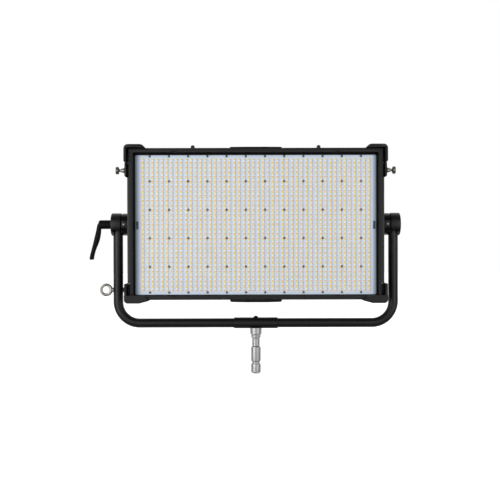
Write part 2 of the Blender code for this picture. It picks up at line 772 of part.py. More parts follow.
def make_display(finishes, head):
    bm = bmesh.new()
    add_box(bm, (-0.038, 0.0850, PANEL_Z - 0.022), (0.038, 0.0953, PANEL_Z + 0.022))
    bevelled(place("display_window", bm, finishes["black_gloss"], head), 0.0006, 1)


def make_turning_knob(name, side, finishes, head):
    axis = pivot(name + "_axis", (side * KNOB_X, 0.0, PANEL_Z), head)
    profile = [(0.0850, 0.0030), (0.0955, 0.0030), (0.0955, 0.0125), (0.0960, 0.0130)]
    profile += [(0.1085, 0.0122), (0.1100, 0.0108)]
    turned(name, "Y", profile, finishes["black_plastic"], axis)


def make_button(button, finishes, head):
    name = "menu_button_" + str(button + 1)
    axis = pivot(name + "_axis", (button_x(button), 0.0, BUTTON_Z), head)
    profile = [(0.0880, 0.0062), (0.0905, 0.0062), (0.0905, 0.0048), (0.0972, 0.0048), (0.0980, 0.0040)]
    turned(name, "Y", profile, finishes["rubber"], axis, count=16)


def make_power_switch(finishes, head):
    """A bezel in the cover and a rocker that tips about a pin across it."""
    centre_x, half_w, half_h = SOCKETS["power_switch_bezel"]
    loops = []
    for inset, y in (
        (0.0018, 0.0800),
        (0.0018, 0.0962),
        (-0.0016, 0.0962),
        (-0.0016, 0.0954),
        (0.0, 0.0954),
        (0.0, 0.0800),
    ):
        outline = rounded_rectangle(half_w - inset, half_h - inset, 0.0008, 1)
        loops.append(on_plane(outline, "Y", y, (centre_x, SOCKET_Z)))
    bm = bmesh.new()
    add_loft(bm, loops, ring=True)
    place("power_switch_bezel", bm, finishes["black_plastic"], head)
    axis = pivot("power_rocker_axis", (centre_x, 0.0900, SOCKET_Z), head)
    axis.rotation_euler = (math.radians(10), 0.0, 0.0)
    outline = [(-0.0050, -0.0064), (0.0068, -0.0064), (0.0056, 0.0)]
    outline += [(0.0068, 0.0064), (-0.0050, 0.0064)]
    rocker = bmesh.new()
    add_prism(rocker, outline, "X", -0.0045, 0.0045)
    place("power_rocker", rocker, finishes["black_gloss"], axis)


def make_socket(name, cavity, floor_y, flange, finishes, head):
    """A socket in its hole in the cover: a flange outside, a body inside and a cavity."""
    centre_x, half_w, half_h = SOCKETS[name]
    centre = (centre_x, SOCKET_Z)
    bm = bmesh.new()
    add_prism(bm, rounded_rectangle(half_w, half_h, 0.0015, 1), "Y", 0.0780, 0.0960, centre)
    socket = place(name, bm, finishes["black_plastic"], head)
    plate = bmesh.new()
    add_prism(plate, rounded_rectangle(*flange, 0.0025, 2), "Y", 0.0954, 0.0972, centre)
    boolean(socket, "UNION", plate)
    cut = bmesh.new()
    add_prism(cut, cavity, "Y", floor_y, 0.1050, centre)
    boolean(socket, "DIFFERENCE", cut)


def make_sockets(finishes, head):
    mains = [(-0.0115, -0.0078), (0.0115, -0.0078), (0.0115, 0.0038)]
    mains += [(0.0075, 0.0078), (-0.0075, 0.0078), (-0.0115, 0.0038)]
    network = rounded_rectangle(0.0060, 0.0052, 0.0005, 1)
    usb = rounded_rectangle(0.0061, 0.0024, 0.0004, 1)
    make_socket("mains_inlet", mains, 0.0830, (0.0160, 0.0125), finishes, head)
    make_socket("data_in_socket", circle(0.0088, 20), 0.0830, (0.0130, 0.0150), finishes, head)
    make_socket("data_out_socket", circle(0.0088, 20), 0.0930, (0.0130, 0.0150), finishes, head)
    make_socket("network_socket", network, 0.0840, (0.0110, 0.0105), finishes, head)
    make_socket("usb_socket", usb, 0.0840, (0.0095, 0.0060), finishes, head)


# ---------------------------------------------------------------- head


def make_head(finishes):
    head = pivot("tilt_axis", (0.0, 0.0, PIVOT_Z))
    make_front_frame(finishes, head)
    make_led_board(finishes, head)
    make_edge_fittings(finishes, head)
    make_hub_discs(finishes, head)
    make_housing(finishes, head)
    make_heat_sink(finishes, head)
    make_rear_cover(finishes, head)
    make_connector_plate(finishes, head)
    make_electronics(finishes, head)
    make_display(finishes, head)
    make_power_switch(finishes, head)
    make_sockets(finishes, head)
    for side_name, side in (("left", -1), ("right", 1)):
        make_top_bracket(side_name + "_top_bracket", side, finishes, head)
        make_bottom_bracket(side_name + "_bottom_bracket", side, finishes, head)
        make_latch_block(side_name + "_latch_block", side, finishes, head)
        make_plunger(side_name, side, finishes, head)
        make_fan(side_name, side, finishes, head)
    make_turning_knob("select_knob", -1, finishes, head)
    make_turning_knob("dimmer_knob", 1, finishes, head)
    for button in range(4):
        make_button(button, finishes, head)


def main():
    for old in list(bpy.data.objects):
        bpy.data.objects.remove(old, do_unlink=True)
    finishes = make_materials()
    make_yoke(finishes)
    make_clamp(finishes)
    make_head(finishes)


main()
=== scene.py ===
"""The finished look of the LED panel light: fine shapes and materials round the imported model.

Units are metres, +Z is up and the light faces -Y. The origin is the centre of the spigot's
lower end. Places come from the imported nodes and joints. Sides are -1 for left and +1 for right.
"""

import json
import math

import bmesh
import bpy
from mathutils import Matrix, Vector

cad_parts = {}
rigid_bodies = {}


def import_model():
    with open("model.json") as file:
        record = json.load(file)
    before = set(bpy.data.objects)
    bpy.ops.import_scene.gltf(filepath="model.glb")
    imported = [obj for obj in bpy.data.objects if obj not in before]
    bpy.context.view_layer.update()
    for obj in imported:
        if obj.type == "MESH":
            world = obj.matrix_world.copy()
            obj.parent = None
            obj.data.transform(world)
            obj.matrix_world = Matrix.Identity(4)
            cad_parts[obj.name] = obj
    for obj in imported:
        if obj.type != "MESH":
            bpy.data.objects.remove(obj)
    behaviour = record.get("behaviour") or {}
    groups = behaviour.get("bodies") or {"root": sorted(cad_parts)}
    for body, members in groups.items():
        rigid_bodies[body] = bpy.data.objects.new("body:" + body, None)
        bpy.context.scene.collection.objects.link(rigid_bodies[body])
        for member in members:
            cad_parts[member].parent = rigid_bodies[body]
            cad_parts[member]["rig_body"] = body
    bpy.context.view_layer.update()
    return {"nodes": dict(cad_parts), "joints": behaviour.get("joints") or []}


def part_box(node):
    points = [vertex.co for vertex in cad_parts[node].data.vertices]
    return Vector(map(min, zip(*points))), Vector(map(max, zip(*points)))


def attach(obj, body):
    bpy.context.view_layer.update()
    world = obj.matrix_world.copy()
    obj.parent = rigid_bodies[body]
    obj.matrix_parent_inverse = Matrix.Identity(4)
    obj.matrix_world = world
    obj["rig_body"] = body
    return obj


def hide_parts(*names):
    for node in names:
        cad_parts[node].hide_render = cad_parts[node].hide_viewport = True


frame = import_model()
JOINTS = {joint["name"]: joint for joint in frame["joints"]}

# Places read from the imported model
TILT = Vector(JOINTS["head_tilt"]["pos_m"])
TUBE_LOW, TUBE_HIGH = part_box("yoke_tube")
TUBE_R = (TUBE_HIGH.y - TUBE_LOW.y) / 2
ARM_X = TUBE_HIGH.x - TUBE_R
BAR_Z = TUBE_LOW.z + TUBE_R
DRUM_LOW, DRUM_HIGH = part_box("right_yoke_drum")
DRUM_R = (DRUM_HIGH.y - DRUM_LOW.y) / 2
DRUM_INNER_X = DRUM_LOW.x
DRUM_OUTER_X = DRUM_HIGH.x
FRAME_LOW, FRAME_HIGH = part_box("front_frame")
FRAME_FRONT = FRAME_LOW.y
FRAME_BACK = FRAME_HIGH.y
BOARD_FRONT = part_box("led_board")[0].y
COVER_LOW, COVER_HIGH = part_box("rear_cover")

SIDES = (("left", -1), ("right", 1))

# Sizes of what only the finished look has
BEND_R = 0.060
ARM_OVAL = 0.05
SEAT_Z = TILT.z - 0.0165
LIP_W = 0.336
LIP_H = 0.1958
LEDGE_W = 0.3323
LEDGE_H = 0.19215
LEDGE_Z = -0.00225
BOTTOM_BASE_X = 0.344
BOARD_EDGE_X = 0.3323
LED_COLUMNS = 48
LED_ROWS = 84
LED_PITCH_X = 0.01327
LED_PITCH_Z = 0.00436
LED_CENTRE_Z = -0.0024
SCREW_COLUMNS = 12
SCREW_PITCH_X = 0.05295
SCREW_ROWS_Z = (0.1866, 0.1179, 0.0393, -0.0388, -0.1175, -0.1885)


# ---------------------------------------------------------------- materials


def new_material(name, colour, roughness, metallic=0.0, **sockets):
    """A Principled material. Extra sockets are given by name, with _ for a space."""
    made = bpy.data.materials.new(name)
    made.use_nodes = True
    shader = made.node_tree.nodes["Principled BSDF"]
    shader.inputs["Base Color"].default_value = (*colour, 1.0)
    shader.inputs["Roughness"].default_value = roughness
    shader.inputs["Metallic"].default_value = metallic
    for socket, value in sockets.items():
        shader.inputs[socket.replace("_", " ")].default_value = value
    return made


def node(material, kind, **values):
    made = material.node_tree.nodes.new("ShaderNode" + kind)
    for socket, value in values.items():
        made.inputs[socket.replace("_", " ")].default_value = value
    return made


def link(material, output, target):
    material.node_tree.links.new(output, target)


def shader_input(material, socket):
    return material.node_tree.nodes["Principled BSDF"].inputs[socket]


def object_coordinates(material, stretch=(1.0, 1.0, 1.0)):
    coordinates = node(material, "TexCoord")
    mapping = node(material, "Mapping", Scale=stretch)
    link(material, coordinates.outputs["Object"], mapping.inputs["Vector"])
    return mapping.outputs["Vector"]


def noise(material, scale, detail=3.0, stretch=(1.0, 1.0, 1.0)):
    """A noise pattern whose scale is the number of features in one metre."""
    made = node(material, "TexNoise", Scale=scale, Detail=detail)
    link(material, object_coordinates(material, stretch), made.inputs["Vector"])
    return made.outputs["Fac"]


def spread(material, value, low, high, start=0.35, end=0.65):
    """Maps a pattern's values from start..end to low..high."""
    made = node(material, "MapRange", From_Min=start, From_Max=end, To_Min=low, To_Max=high)
    link(material, value, made.inputs["Value"])
    return made.outputs["Result"]


def colour_mix(material, pattern, first, second):
    """A colour that goes from first to second with the pattern."""
    mix = material.node_tree.nodes.new("ShaderNodeMix")
    mix.data_type = "RGBA"
    if first:
        mix.inputs["A"].default_value = (*first, 1.0)
    mix.inputs["B"].default_value = (*second, 1.0)
    link(material, pattern, mix.inputs["Factor"])
    return mix


def vary_colour(material, pattern, first, second):
    """Lets the base colour go from first to second with the pattern."""
    mix = colour_mix(material, pattern, first, second)
    link(material, mix.outputs["Result"], shader_input(material, "Base Color"))


def vary_roughness(material, pattern, low, high):
    link(material, spread(material, pattern, low, high), shader_input(material, "Roughness"))


def add_bump(material, pattern, height, strength=1.0):
    """Raises the surface by up to the height, in metres, where the pattern is high."""
    bump = node(material, "Bump", Strength=strength, Distance=height)
    link(material, pattern, bump.inputs["Height"])
    link(material, bump.outputs["Normal"], shader_input(material, "Normal"))


def edge_wear(material):
    """1 on convex edges, for wear that hands and stands rub together with a painted highlight, and 0
    elsewhere.
    """
    geometry = node(material, "NewGeometry")
    rubbed_and_lit = spread(material, geometry.outputs["Pointiness"], 0.0, 1.0, 0.54, 0.62)
    blotches = spread(material, noise(material, 120.0), 0.2, 1.0, 0.4, 0.6)
    both = node(material, "Math")
    both.operation = "MULTIPLY"
    link(material, rubbed_and_lit, both.inputs[0])
    link(material, blotches, both.inputs[1])
    return both.outputs["Value"]


def coated_metal(name, colour, worn_and_lit_edge, roughness, grain):
    """Aluminium with a black coating: a fine grain, a slow drift of gloss, and edges lightened for rubbed
    wear and a painted highlight.
    """
    made = new_material(name, colour, roughness, Specular_IOR_Level=0.4)
    # Lighter edges: rubbed wear together with a painted highlight.
    vary_colour(made, edge_wear(made), colour, worn_and_lit_edge)
    vary_roughness(made, noise(made, 25.0, 2.0), roughness - 0.008, roughness + 0.012)
    add_bump(made, noise(made, 1800.0, 2.0), grain)
    return made


def moulded_plastic(name, colour, roughness, grain, gloss=0.4):
    """Injection-moulded plastic with a spark-eroded grain."""
    made = new_material(name, colour, roughness, Specular_IOR_Level=gloss)
    lighter = tuple(1.5 * part for part in colour)
    vary_colour(made, spread(made, noise(made, 60.0, 5.0), 0.0, 1.0), colour, lighter)
    vary_roughness(made, noise(made, 45.0, 3.0), roughness - 0.06, roughness + 0.06)
    add_bump(made, noise(made, 3200.0, 1.0), grain)
    return made


def white_plastic(name, colour, roughness):
    """White moulded resin, faintly uneven in tone."""
    made = new_material(name, colour, roughness)
    greyer = tuple(0.93 * part for part in colour)
    vary_colour(made, spread(made, noise(made, 150.0, 3.0), 0.0, 1.0), greyer, colour)
    vary_roughness(made, noise(made, 300.0, 2.0), roughness - 0.05, roughness + 0.08)
    add_bump(made, noise(made, 2400.0, 1.0), 0.00001)
    return made


def soft_rubber(name, colour):
    """Dull rubber with a dusty bloom."""
    made = new_material(name, colour, 0.78, Specular_IOR_Level=0.3)
    dusty = tuple(2.2 * part for part in colour)
    vary_colour(made, spread(made, noise(made, 35.0, 6.0), 0.0, 1.0), colour, dusty)
    vary_roughness(made, noise(made, 80.0, 2.0), 0.70, 0.85)
    add_bump(made, noise(made, 1400.0, 3.0), 0.00004)
    return made


def turned_metal(name, colour, roughness, stretch, lines):
    """Machined metal. The stretch lays fine tool marks across the axis it was turned about."""
    made = new_material(name, colour, roughness, 1.0)
    darker = tuple(0.86 * part for part in colour)
    vary_colour(made, spread(made, noise(made, 18.0, 5.0), 0.0, 1.0), darker, colour)
    marks = noise(made, lines, 4.0, stretch)
    vary_roughness(made, marks, roughness - 0.08, roughness + 0.10)
    add_bump(made, marks, 0.000012)
    return made


def make_board_finish():
    """White solder mask with a blue cast and a faint painted glow, with painted shade that darkens it to
    slate at the short edges, where the frame's side walls shade it.
    """
    # Emission Strength is a painted glow on the mask, which is no lamp. It lifts the board evenly past the
    # shade of the frame's walls.
    made = new_material("board_mask", (0.50, 0.57, 0.66), 0.42, Emission_Strength=0.46)
    mottle = spread(made, noise(made, 22.0, 4.0), 0.0, 1.0)
    plain = colour_mix(made, mottle, (0.50, 0.57, 0.66), (0.53, 0.595, 0.68))
    split = node(made, "SeparateXYZ")
    link(made, object_coordinates(made), split.inputs["Vector"])
    # Painted shade: the left and right masks darken the margins beside the frame's side walls towards dark
    # slate, over 16 mm on the left and 11 mm on the right. The glow takes the same shaded colour.
    left = spread(made, split.outputs["X"], 1.0, 0.0, -BOARD_EDGE_X, -BOARD_EDGE_X + 0.016)
    right = spread(made, split.outputs["X"], 0.0, 0.85, BOARD_EDGE_X - 0.011, BOARD_EDGE_X)
    shade = node(made, "Math")
    shade.operation = "ADD"
    link(made, left, shade.inputs[0])
    link(made, right, shade.inputs[1])
    painted_shade_mix = colour_mix(made, shade.outputs["Value"], None, (0.075, 0.10, 0.14))
    link(made, plain.outputs["Result"], painted_shade_mix.inputs["A"])
    link(made, painted_shade_mix.outputs["Result"], shader_input(made, "Base Color"))
    link(made, painted_shade_mix.outputs["Result"], shader_input(made, "Emission Color"))
    vary_roughness(made, noise(made, 90.0, 3.0), 0.36, 0.48)
    add_bump(made, noise(made, 900.0, 2.0, (1.0, 1.0, 0.05)), 0.00002)
    return made


def make_phosphor(name, colour, deeper, glow):
    """Silicone filled with phosphor powder: speckled and waxy, with the glow of light inside it."""
    made = new_material(name, colour, 0.35, Emission_Color=(*colour, 1.0), Emission_Strength=glow)
    vary_colour(made, spread(made, noise(made, 420.0, 2.0), 0.0, 1.0), deeper, colour)
    vary_roughness(made, noise(made, 700.0, 2.0), 0.28, 0.42)
    add_bump(made, noise(made, 2600.0, 2.0), 0.00003)
    return made


def make_finishes():
    return {
        "frame": coated_metal("frame_coating", (0.0105, 0.0110, 0.0120), (0.05, 0.05, 0.05), 0.42, 0.00003),
        # A darker black for the frame's inner walls and ledge: painted shade for the shadow inside the lip.
        "painted_lip_shade": moulded_plastic("painted_lip_shade_black", (0.0022, 0.0022, 0.0026), 0.60, 0.00003, 0.12),
        "yoke": coated_metal("yoke_coating", (0.0085, 0.0085, 0.0090), (0.06, 0.06, 0.06), 0.36, 0.00004),
        "hub": coated_metal("hub_coating", (0.0030, 0.0031, 0.0034), (0.03, 0.03, 0.03), 0.22, 0.00001),
        "casing": coated_metal("casing_coating", (0.0110, 0.0115, 0.0125), (0.05, 0.05, 0.05), 0.46, 0.00005),
        "fins": coated_metal("fin_coating", (0.0120, 0.0120, 0.0130), (0.06, 0.06, 0.06), 0.50, 0.00003),
        "bracket": moulded_plastic("bracket_plastic", (0.0062, 0.0063, 0.0068), 0.40, 0.00003),
        "lever": moulded_plastic("lever_plastic", (0.0026, 0.0026, 0.0029), 0.52, 0.00004, 0.14),
        "plastic": moulded_plastic("black_moulding", (0.010, 0.010, 0.011), 0.50, 0.00004),
        "gloss": moulded_plastic("gloss_moulding", (0.006, 0.006, 0.007), 0.14, 0.000006),
        "rubber": soft_rubber("edge_rubber", (0.0065, 0.0065, 0.0068)),
        "steel": turned_metal("stainless_steel", (0.42, 0.405, 0.38), 0.30, (1.0, 1.0, 1.0), 350.0),
        "knob_steel": turned_metal("turned_steel", (0.31, 0.295, 0.27), 0.30, (6.0, 1.0, 1.0), 300.0),
        "spigot": turned_metal("turned_aluminium", (0.60, 0.605, 0.59), 0.40, (0.5, 0.5, 12.0), 220.0),
        "black_steel": coated_metal("oxide_steel", (0.016, 0.016, 0.017), (0.10, 0.10, 0.10), 0.34, 0.00001),
        "tin": turned_metal("supply_tin", (0.55, 0.56, 0.57), 0.38, (0.2, 1.0, 8.0), 120.0),
        "board": make_board_finish(),
        "circuit": moulded_plastic("circuit_mask", (0.012, 0.075, 0.030), 0.45, 0.00002),
        "marking": moulded_plastic("grey_plug", (0.09, 0.10, 0.13), 0.50, 0.00003),
        "package": white_plastic("led_package", (0.86, 0.87, 0.88), 0.40),
        "amber": make_phosphor("amber_phosphor", (0.98, 0.49, 0.03), (0.92, 0.43, 0.02), 0.48),
        "yellow": make_phosphor("yellow_phosphor", (0.98, 0.78, 0.10), (0.92, 0.71, 0.08), 0.32),
        "pale": make_phosphor("pale_phosphor", (0.95, 0.92, 0.87), (0.90, 0.87, 0.81), 0.32),
        "chip": moulded_plastic("chip_epoxy", (0.085, 0.09, 0.10), 0.45, 0.00002),
        "washer": turned_metal("zinc_washer", (0.44, 0.45, 0.46), 0.45, (1.0, 1.0, 1.0), 300.0),
        "screw": turned_metal("zinc_screw", (0.20, 0.205, 0.21), 0.42, (1.0, 1.0, 1.0), 300.0),
        "screen": moulded_plastic("display_screen", (0.010, 0.013, 0.018), 0.10, 0.000001),
        "contact": turned_metal("gold_contact", (0.75, 0.56, 0.25), 0.28, (1.0, 1.0, 1.0), 200.0),
        "white_mark": moulded_plastic("white_mark", (0.55, 0.55, 0.55), 0.50, 0.00001),
    }


# ---------------------------------------------------------------- shape helpers


def circle(radius, count=48):
    turns = [2 * math.pi * step / count for step in range(count)]
    return [(radius * math.cos(turn), radius * math.sin(turn)) for turn in turns]


def arc(centre, radius, start, end, steps=8):
    """Points along an arc from start to end, in degrees."""
    points = []
    for step in range(steps + 1):
        turn = math.radians(start + (end - start) * step / steps)
        points.append((centre[0] + radius * math.cos(turn), centre[1] + radius * math.sin(turn)))
    return points


def rounded(points, radius, closed=True, steps=4):
    """The outline with each corner rounded. A third value in a point is its own radius."""
    path = []
    count = len(points)
    for i, point in enumerate(points):
        here = Vector(point[:2])
        wanted = point[2] if len(point) > 2 else radius
        if wanted <= 0 or (not closed and i in (0, count - 1)):
            path.append(tuple(here))
            continue
        back = Vector(points[i - 1][:2]) - here
        ahead = Vector(points[(i + 1) % count][:2]) - here
        half = back.angle(ahead) / 2
        if half > 1.55:
            path.append(tuple(here))
            continue
        reach = min(wanted / math.tan(half), 0.49 * back.length, 0.49 * ahead.length)
        bulge = reach * math.tan(half)
        middle = (back.normalized() + ahead.normalized()).normalized()
        centre = here + middle * (bulge / math.sin(half))
        first = here + back.normalized() * reach - centre
        last = here + ahead.normalized() * reach - centre
        start = math.atan2(first.y, first.x)
        sweep = math.remainder(math.atan2(last.y, last.x) - start, 2 * math.pi)
        for step in range(steps + 1):
            turn = start + sweep * step / steps
            path.append((centre.x + bulge * math.cos(turn), centre.y + bulge * math.sin(turn)))
    return path


def rectangle(half_u, half_v, radius, steps=5):
    points = [(half_u, half_v), (-half_u, half_v), (-half_u, -half_v), (half_u, -half_v)]
    return rounded(points, radius, steps=steps)


def on_plane(outline, axis, position, centre=(0.0, 0.0)):
    """The outline's points on the plane that crosses axis at position."""
    cu, cv = centre
    if axis == "X":
        return [(position, cu + u, cv + v) for u, v in outline]
    if axis == "Y":
        return [(cu + u, position, cv + v) for u, v in outline]
    return [(cu + u, cv + v, position) for u, v in outline]


def mirrored(outline, side):
    return [(side * point[0], *point[1:]) for point in outline]


def side_span(node_name):
    """How far from the middle plane a side node starts and ends."""
    low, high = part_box(node_name)
    return sorted((abs(low.x), abs(high.x)))


def bridge(bm, first, second):
    for i in range(len(first)):
        j = (i + 1) % len(first)
        bm.faces.new((first[i], first[j], second[j], second[i]))


def add_loft(bm, loops, ring=False):
    """Adds a solid through loops of equal length. A ring joins its last loop to its first."""
    rows = [[bm.verts.new(point) for point in loop] for loop in loops]
    for first, second in zip(rows, rows[1:]):
        bridge(bm, first, second)
    if ring:
        bridge(bm, rows[-1], rows[0])
    else:
        bm.faces.new(rows[0])
        bm.faces.new(rows[-1])


def add_prism(bm, outline, axis, low, high, centre=(0.0, 0.0)):
    add_loft(bm, [on_plane(outline, axis, low, centre), on_plane(outline, axis, high, centre)])


def add_box(bm, low, high):
    outline = [(low[0], low[1]), (high[0], low[1]), (high[0], high[1]), (low[0], high[1])]
    add_prism(bm, outline, "Z", low[2], high[2])


def add_turned(bm, axis, profile, centre=(0.0, 0.0), count=48, ring=False):
    """Adds a turned solid from (position, radius) pairs."""
    loops = [on_plane(circle(radius, count), axis, position, centre) for position, radius in profile]
    add_loft(bm, loops, ring)


def piece(name, bm, finish, body, sharp=35.0):
    """Makes the named piece, which moves with the body, with its faces pointing out."""
    bmesh.ops.recalc_face_normals(bm, faces=bm.faces)
    mesh = bpy.data.meshes.new(name)
    bm.to_mesh(mesh)
    bm.free()
    mesh.materials.append(finish)
    mesh.shade_smooth()
    if sharp:
        mesh.set_sharp_from_angle(angle=math.radians(sharp))
    made = bpy.data.objects.new(name, mesh)
    bpy.context.scene.collection.objects.link(made)
    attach(made, body)
    return made


def stand_in(node_name, bm, finish, sharp=35.0):
    """Makes a finer piece that is shown in place of the CAD node."""
    body = frame["nodes"][node_name]["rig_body"]
    made = piece(node_name + "_look", bm, finish, body, sharp)
    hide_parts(node_name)
    return made


def turned_look(node_name, axis, profile, finish, centre, count=48, ring=False, sharp=35.0):
    bm = bmesh.new()
    add_turned(bm, axis, profile, centre, count, ring)
    return stand_in(node_name, bm, finish, sharp)


def soften(made, width, segments=3, angle=35.0):
    """Rounds the edges of a piece and keeps its flat faces flat."""
    made.data.shade_smooth()
    step = made.modifiers.new("edges", "BEVEL")
    step.width = width
    step.segments = segments
    step.limit_method = "ANGLE"
    step.angle_limit = math.radians(angle)
    step.harden_normals = True
    return made


def carve(target, operation, bm):
    """Joins the target with the bmesh, or cuts it away, and drops the cutter."""
    bmesh.ops.recalc_face_normals(bm, faces=bm.faces)
    mesh = bpy.data.meshes.new("cutter")
    bm.to_mesh(mesh)
    bm.free()
    mesh.materials.append(target.data.materials[0])
    cutter = bpy.data.objects.new("cutter", mesh)
    bpy.context.scene.collection.objects.link(cutter)
    step = target.modifiers.new("carve", "BOOLEAN")
    step.operation = operation
    step.solver = "EXACT"
    step.object = cutter
    bpy.context.view_layer.update()
    shaped = bpy.data.meshes.new_from_object(target.evaluated_get(bpy.context.evaluated_depsgraph_get()))
    target.modifiers.clear()
    target.data = shaped
    bpy.data.objects.remove(cutter, do_unlink=True)
    return target


def sharpen(made, angle=35.0):
    """Marks the edges again after a cut."""
    made.data.shade_smooth()
    made.data.set_sharp_from_angle(angle=math.radians(angle))
    return made


def frame_along(direction, side):
    """Two unit vectors across the direction, the first as near to side as it can be."""
    across = side - direction * side.dot(direction)
    across.normalize()
    return across, direction.cross(across)


def add_sweep(bm, path, radii, count=16, side=Vector((0.0, 1.0, 0.0)), closed=False, oval=None):
    """Adds a tube along the path, with a radius and perhaps an oval stretch at each point."""
    loops = []
    total = len(path)
    for i, point in enumerate(path):
        if closed:
            direction = path[(i + 1) % total] - path[i - 1]
        else:
            direction = path[min(i + 1, total - 1)] - path[max(i - 1, 0)]
        across, up = frame_along(direction.normalized(), side)
        ring = []
        for u, v in circle(radii[i], count):
            ring.append(point + across * u + up * v * (oval[i] if oval else 1.0))
        loops.append(ring)
    add_loft(bm, loops, closed)


def bake(made):
    """Applies the piece's modifiers."""
    bpy.context.view_layer.update()
    graph = bpy.context.evaluated_depsgraph_get()
    shaped = bpy.data.meshes.new_from_object(made.evaluated_get(graph))
    made.modifiers.clear()
    made.data = shaped
    return made


def corners(node_name):
    """The node's lowest and highest corner, seen from the tilt axis."""
    low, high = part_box(node_name)
    return low - TILT, high - TILT


def smooth_stations(stations, steps):
    """Passes a smooth curve through stations of several numbers each."""
    made = []
    for i in range(len(stations) - 1):
        before = stations[max(i - 1, 0)]
        here = stations[i]
        after = stations[i + 1]
        beyond = stations[min(i + 2, len(stations) - 1)]
        for step in range(steps):
            t = step / steps
            made.append([spline(a, b, c, d, t) for a, b, c, d in zip(before, here, after, beyond)])
    made.append(list(stations[-1]))
    return made


def spline(a, b, c, d, t):
    return b + 0.5 * t * (c - a + t * (2 * a - 5 * b + 4 * c - d + t * (3 * (b - c) + d - a)))


# ---------------------------------------------------------------- yoke


def cope(made, side):
    """Cuts a yoke piece clear of the hub disc, which turns with the head beside it."""
    low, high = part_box("left_hub_disc")
    start, end = side_span("left_hub_disc")
    inner = start - 0.001
    outer = end + 0.0003
    radius = (high.z - low.z) / 2 + 0.0005
    room = bmesh.new()
    add_turned(room, "X", mirrored([(inner, radius), (outer, radius)], side), (0.0, TILT.z), 96)
    return sharpen(carve(made, "DIFFERENCE", room), 60.0)


def make_yoke_tube(finishes):
    """The bent tube, slightly oval in its arms, from one drum along the bar to the other."""
    path = [Vector((-ARM_X, 0.0, SEAT_Z))]
    bend_x = ARM_X - BEND_R
    bend_z = BAR_Z + BEND_R
    for centre_x, start in ((-bend_x, 180.0), (bend_x, 270.0)):
        for x, z in arc((centre_x, bend_z), BEND_R, start, start + 90.0, 20):
            path.append(Vector((x, 0.0, z)))
    path.append(Vector((ARM_X, 0.0, SEAT_Z)))
    oval = [1.0 + ARM_OVAL * min(1.0, (point.z - BAR_Z) / BEND_R) for point in path]
    bm = bmesh.new()
    add_sweep(bm, path, [TUBE_R] * len(path), 48, oval=oval)
    made = stand_in("yoke_tube", bm, finishes["yoke"], 60.0)
    cope(cope(made, -1), 1)


def make_welds(finishes):
    """The painted weld beads round the tube's ends, in the drums' notches."""
    for name, side in (("left_weld", -1), ("right_weld", 1)):
        bead = [(SEAT_Z - 0.0012 + z, TUBE_R + 0.0002 + radius) for z, radius in circle(0.0015, 12)]
        bm = bmesh.new()
        add_turned(bm, "Z", bead, (side * ARM_X, 0.0), 64, ring=True)
        cope(piece(name, bm, finishes["yoke"], "yoke", 60.0), side)


def make_drums(finishes):
    """The end drums, each notched from below for the tube's end."""
    bore = 0.0064
    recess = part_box("right_pivot_cap")[0].x - 0.0050
    hollow = DRUM_OUTER_X - 0.0012
    body = [(DRUM_INNER_X, bore, 0), (DRUM_INNER_X, DRUM_R), (DRUM_OUTER_X, DRUM_R, 0.0026)]
    left = body + [(DRUM_OUTER_X, 0.0170, 0.0006), (hollow, 0.0160), (hollow, bore, 0)]
    right = body + [(DRUM_OUTER_X, 0.0153, 0.0005), (recess, 0.0153, 0), (recess, bore, 0)]
    for name, side, profile in (("left_yoke_drum", -1, left), ("right_yoke_drum", 1, right)):
        points = mirrored(rounded(profile, 0.0008, steps=5), side)
        centre = (0.0, TILT.z)
        made = turned_look(name, "X", points, finishes["yoke"], centre, 96, ring=True)
        half = TUBE_R + 0.0014
        outline = [(-half, -0.040, 0), (half, -0.040, 0), (half, SEAT_Z - TILT.z, 0.006)]
        outline.append((-half, SEAT_Z - TILT.z, 0.006))
        notch = bmesh.new()
        add_prism(notch, rounded(outline, 0.006, steps=6), "Y", -0.040, 0.040, (side * ARM_X, TILT.z))
        sharpen(carve(made, "DIFFERENCE", notch))


def make_friction_discs(finishes):
    for name in ("left_friction_disc", "right_friction_disc"):
        low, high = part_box(name)
        radius = (high.y - low.y) / 2
        profile = [(low.x, 0.0066, 0), (low.x, radius), (high.x, radius), (high.x, 0.0066, 0)]
        points = rounded(profile, 0.0004, steps=3)
        turned_look(name, "X", points, finishes["rubber"], (0.0, TILT.z), 96, ring=True)


def make_pivot_cap(finishes):
    low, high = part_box("right_pivot_cap")
    radius = (high.y - low.y) / 2
    profile = [(low.x, 0.004, 0), (low.x, radius), (high.x - 0.0012, radius, 0.0010)]
    profile += [(high.x - 0.0002, radius - 0.004, 0.003), (high.x, 0.0075, 0.0004)]
    profile += [(high.x - 0.0016, 0.0070, 0), (high.x - 0.0016, 0.004, 0)]
    points = rounded(profile, 0.0004)
    bm = bmesh.new()
    add_turned(bm, "X", points, (0.0, TILT.z), 64)
    stand_in("right_pivot_cap", bm, finishes["plastic"])


def make_collar(finishes):
    low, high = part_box("yoke_collar")
    radius = (high.y - low.y) / 2
    bore = TUBE_R + 0.0003
    profile = [(low.x, bore, 0), (low.x, radius - 0.0009), (low.x + 0.0012, radius)]
    profile += [(high.x - 0.0012, radius), (high.x, radius - 0.0009), (high.x, bore, 0)]
    points = rounded(profile, 0.0005, steps=3)
    centre = (0.0, BAR_Z)
    turned_look("yoke_collar", "X", points, finishes["yoke"], centre, 96, ring=True)


def hexagon(across_flats):
    return circle(across_flats / math.sqrt(3), 6)


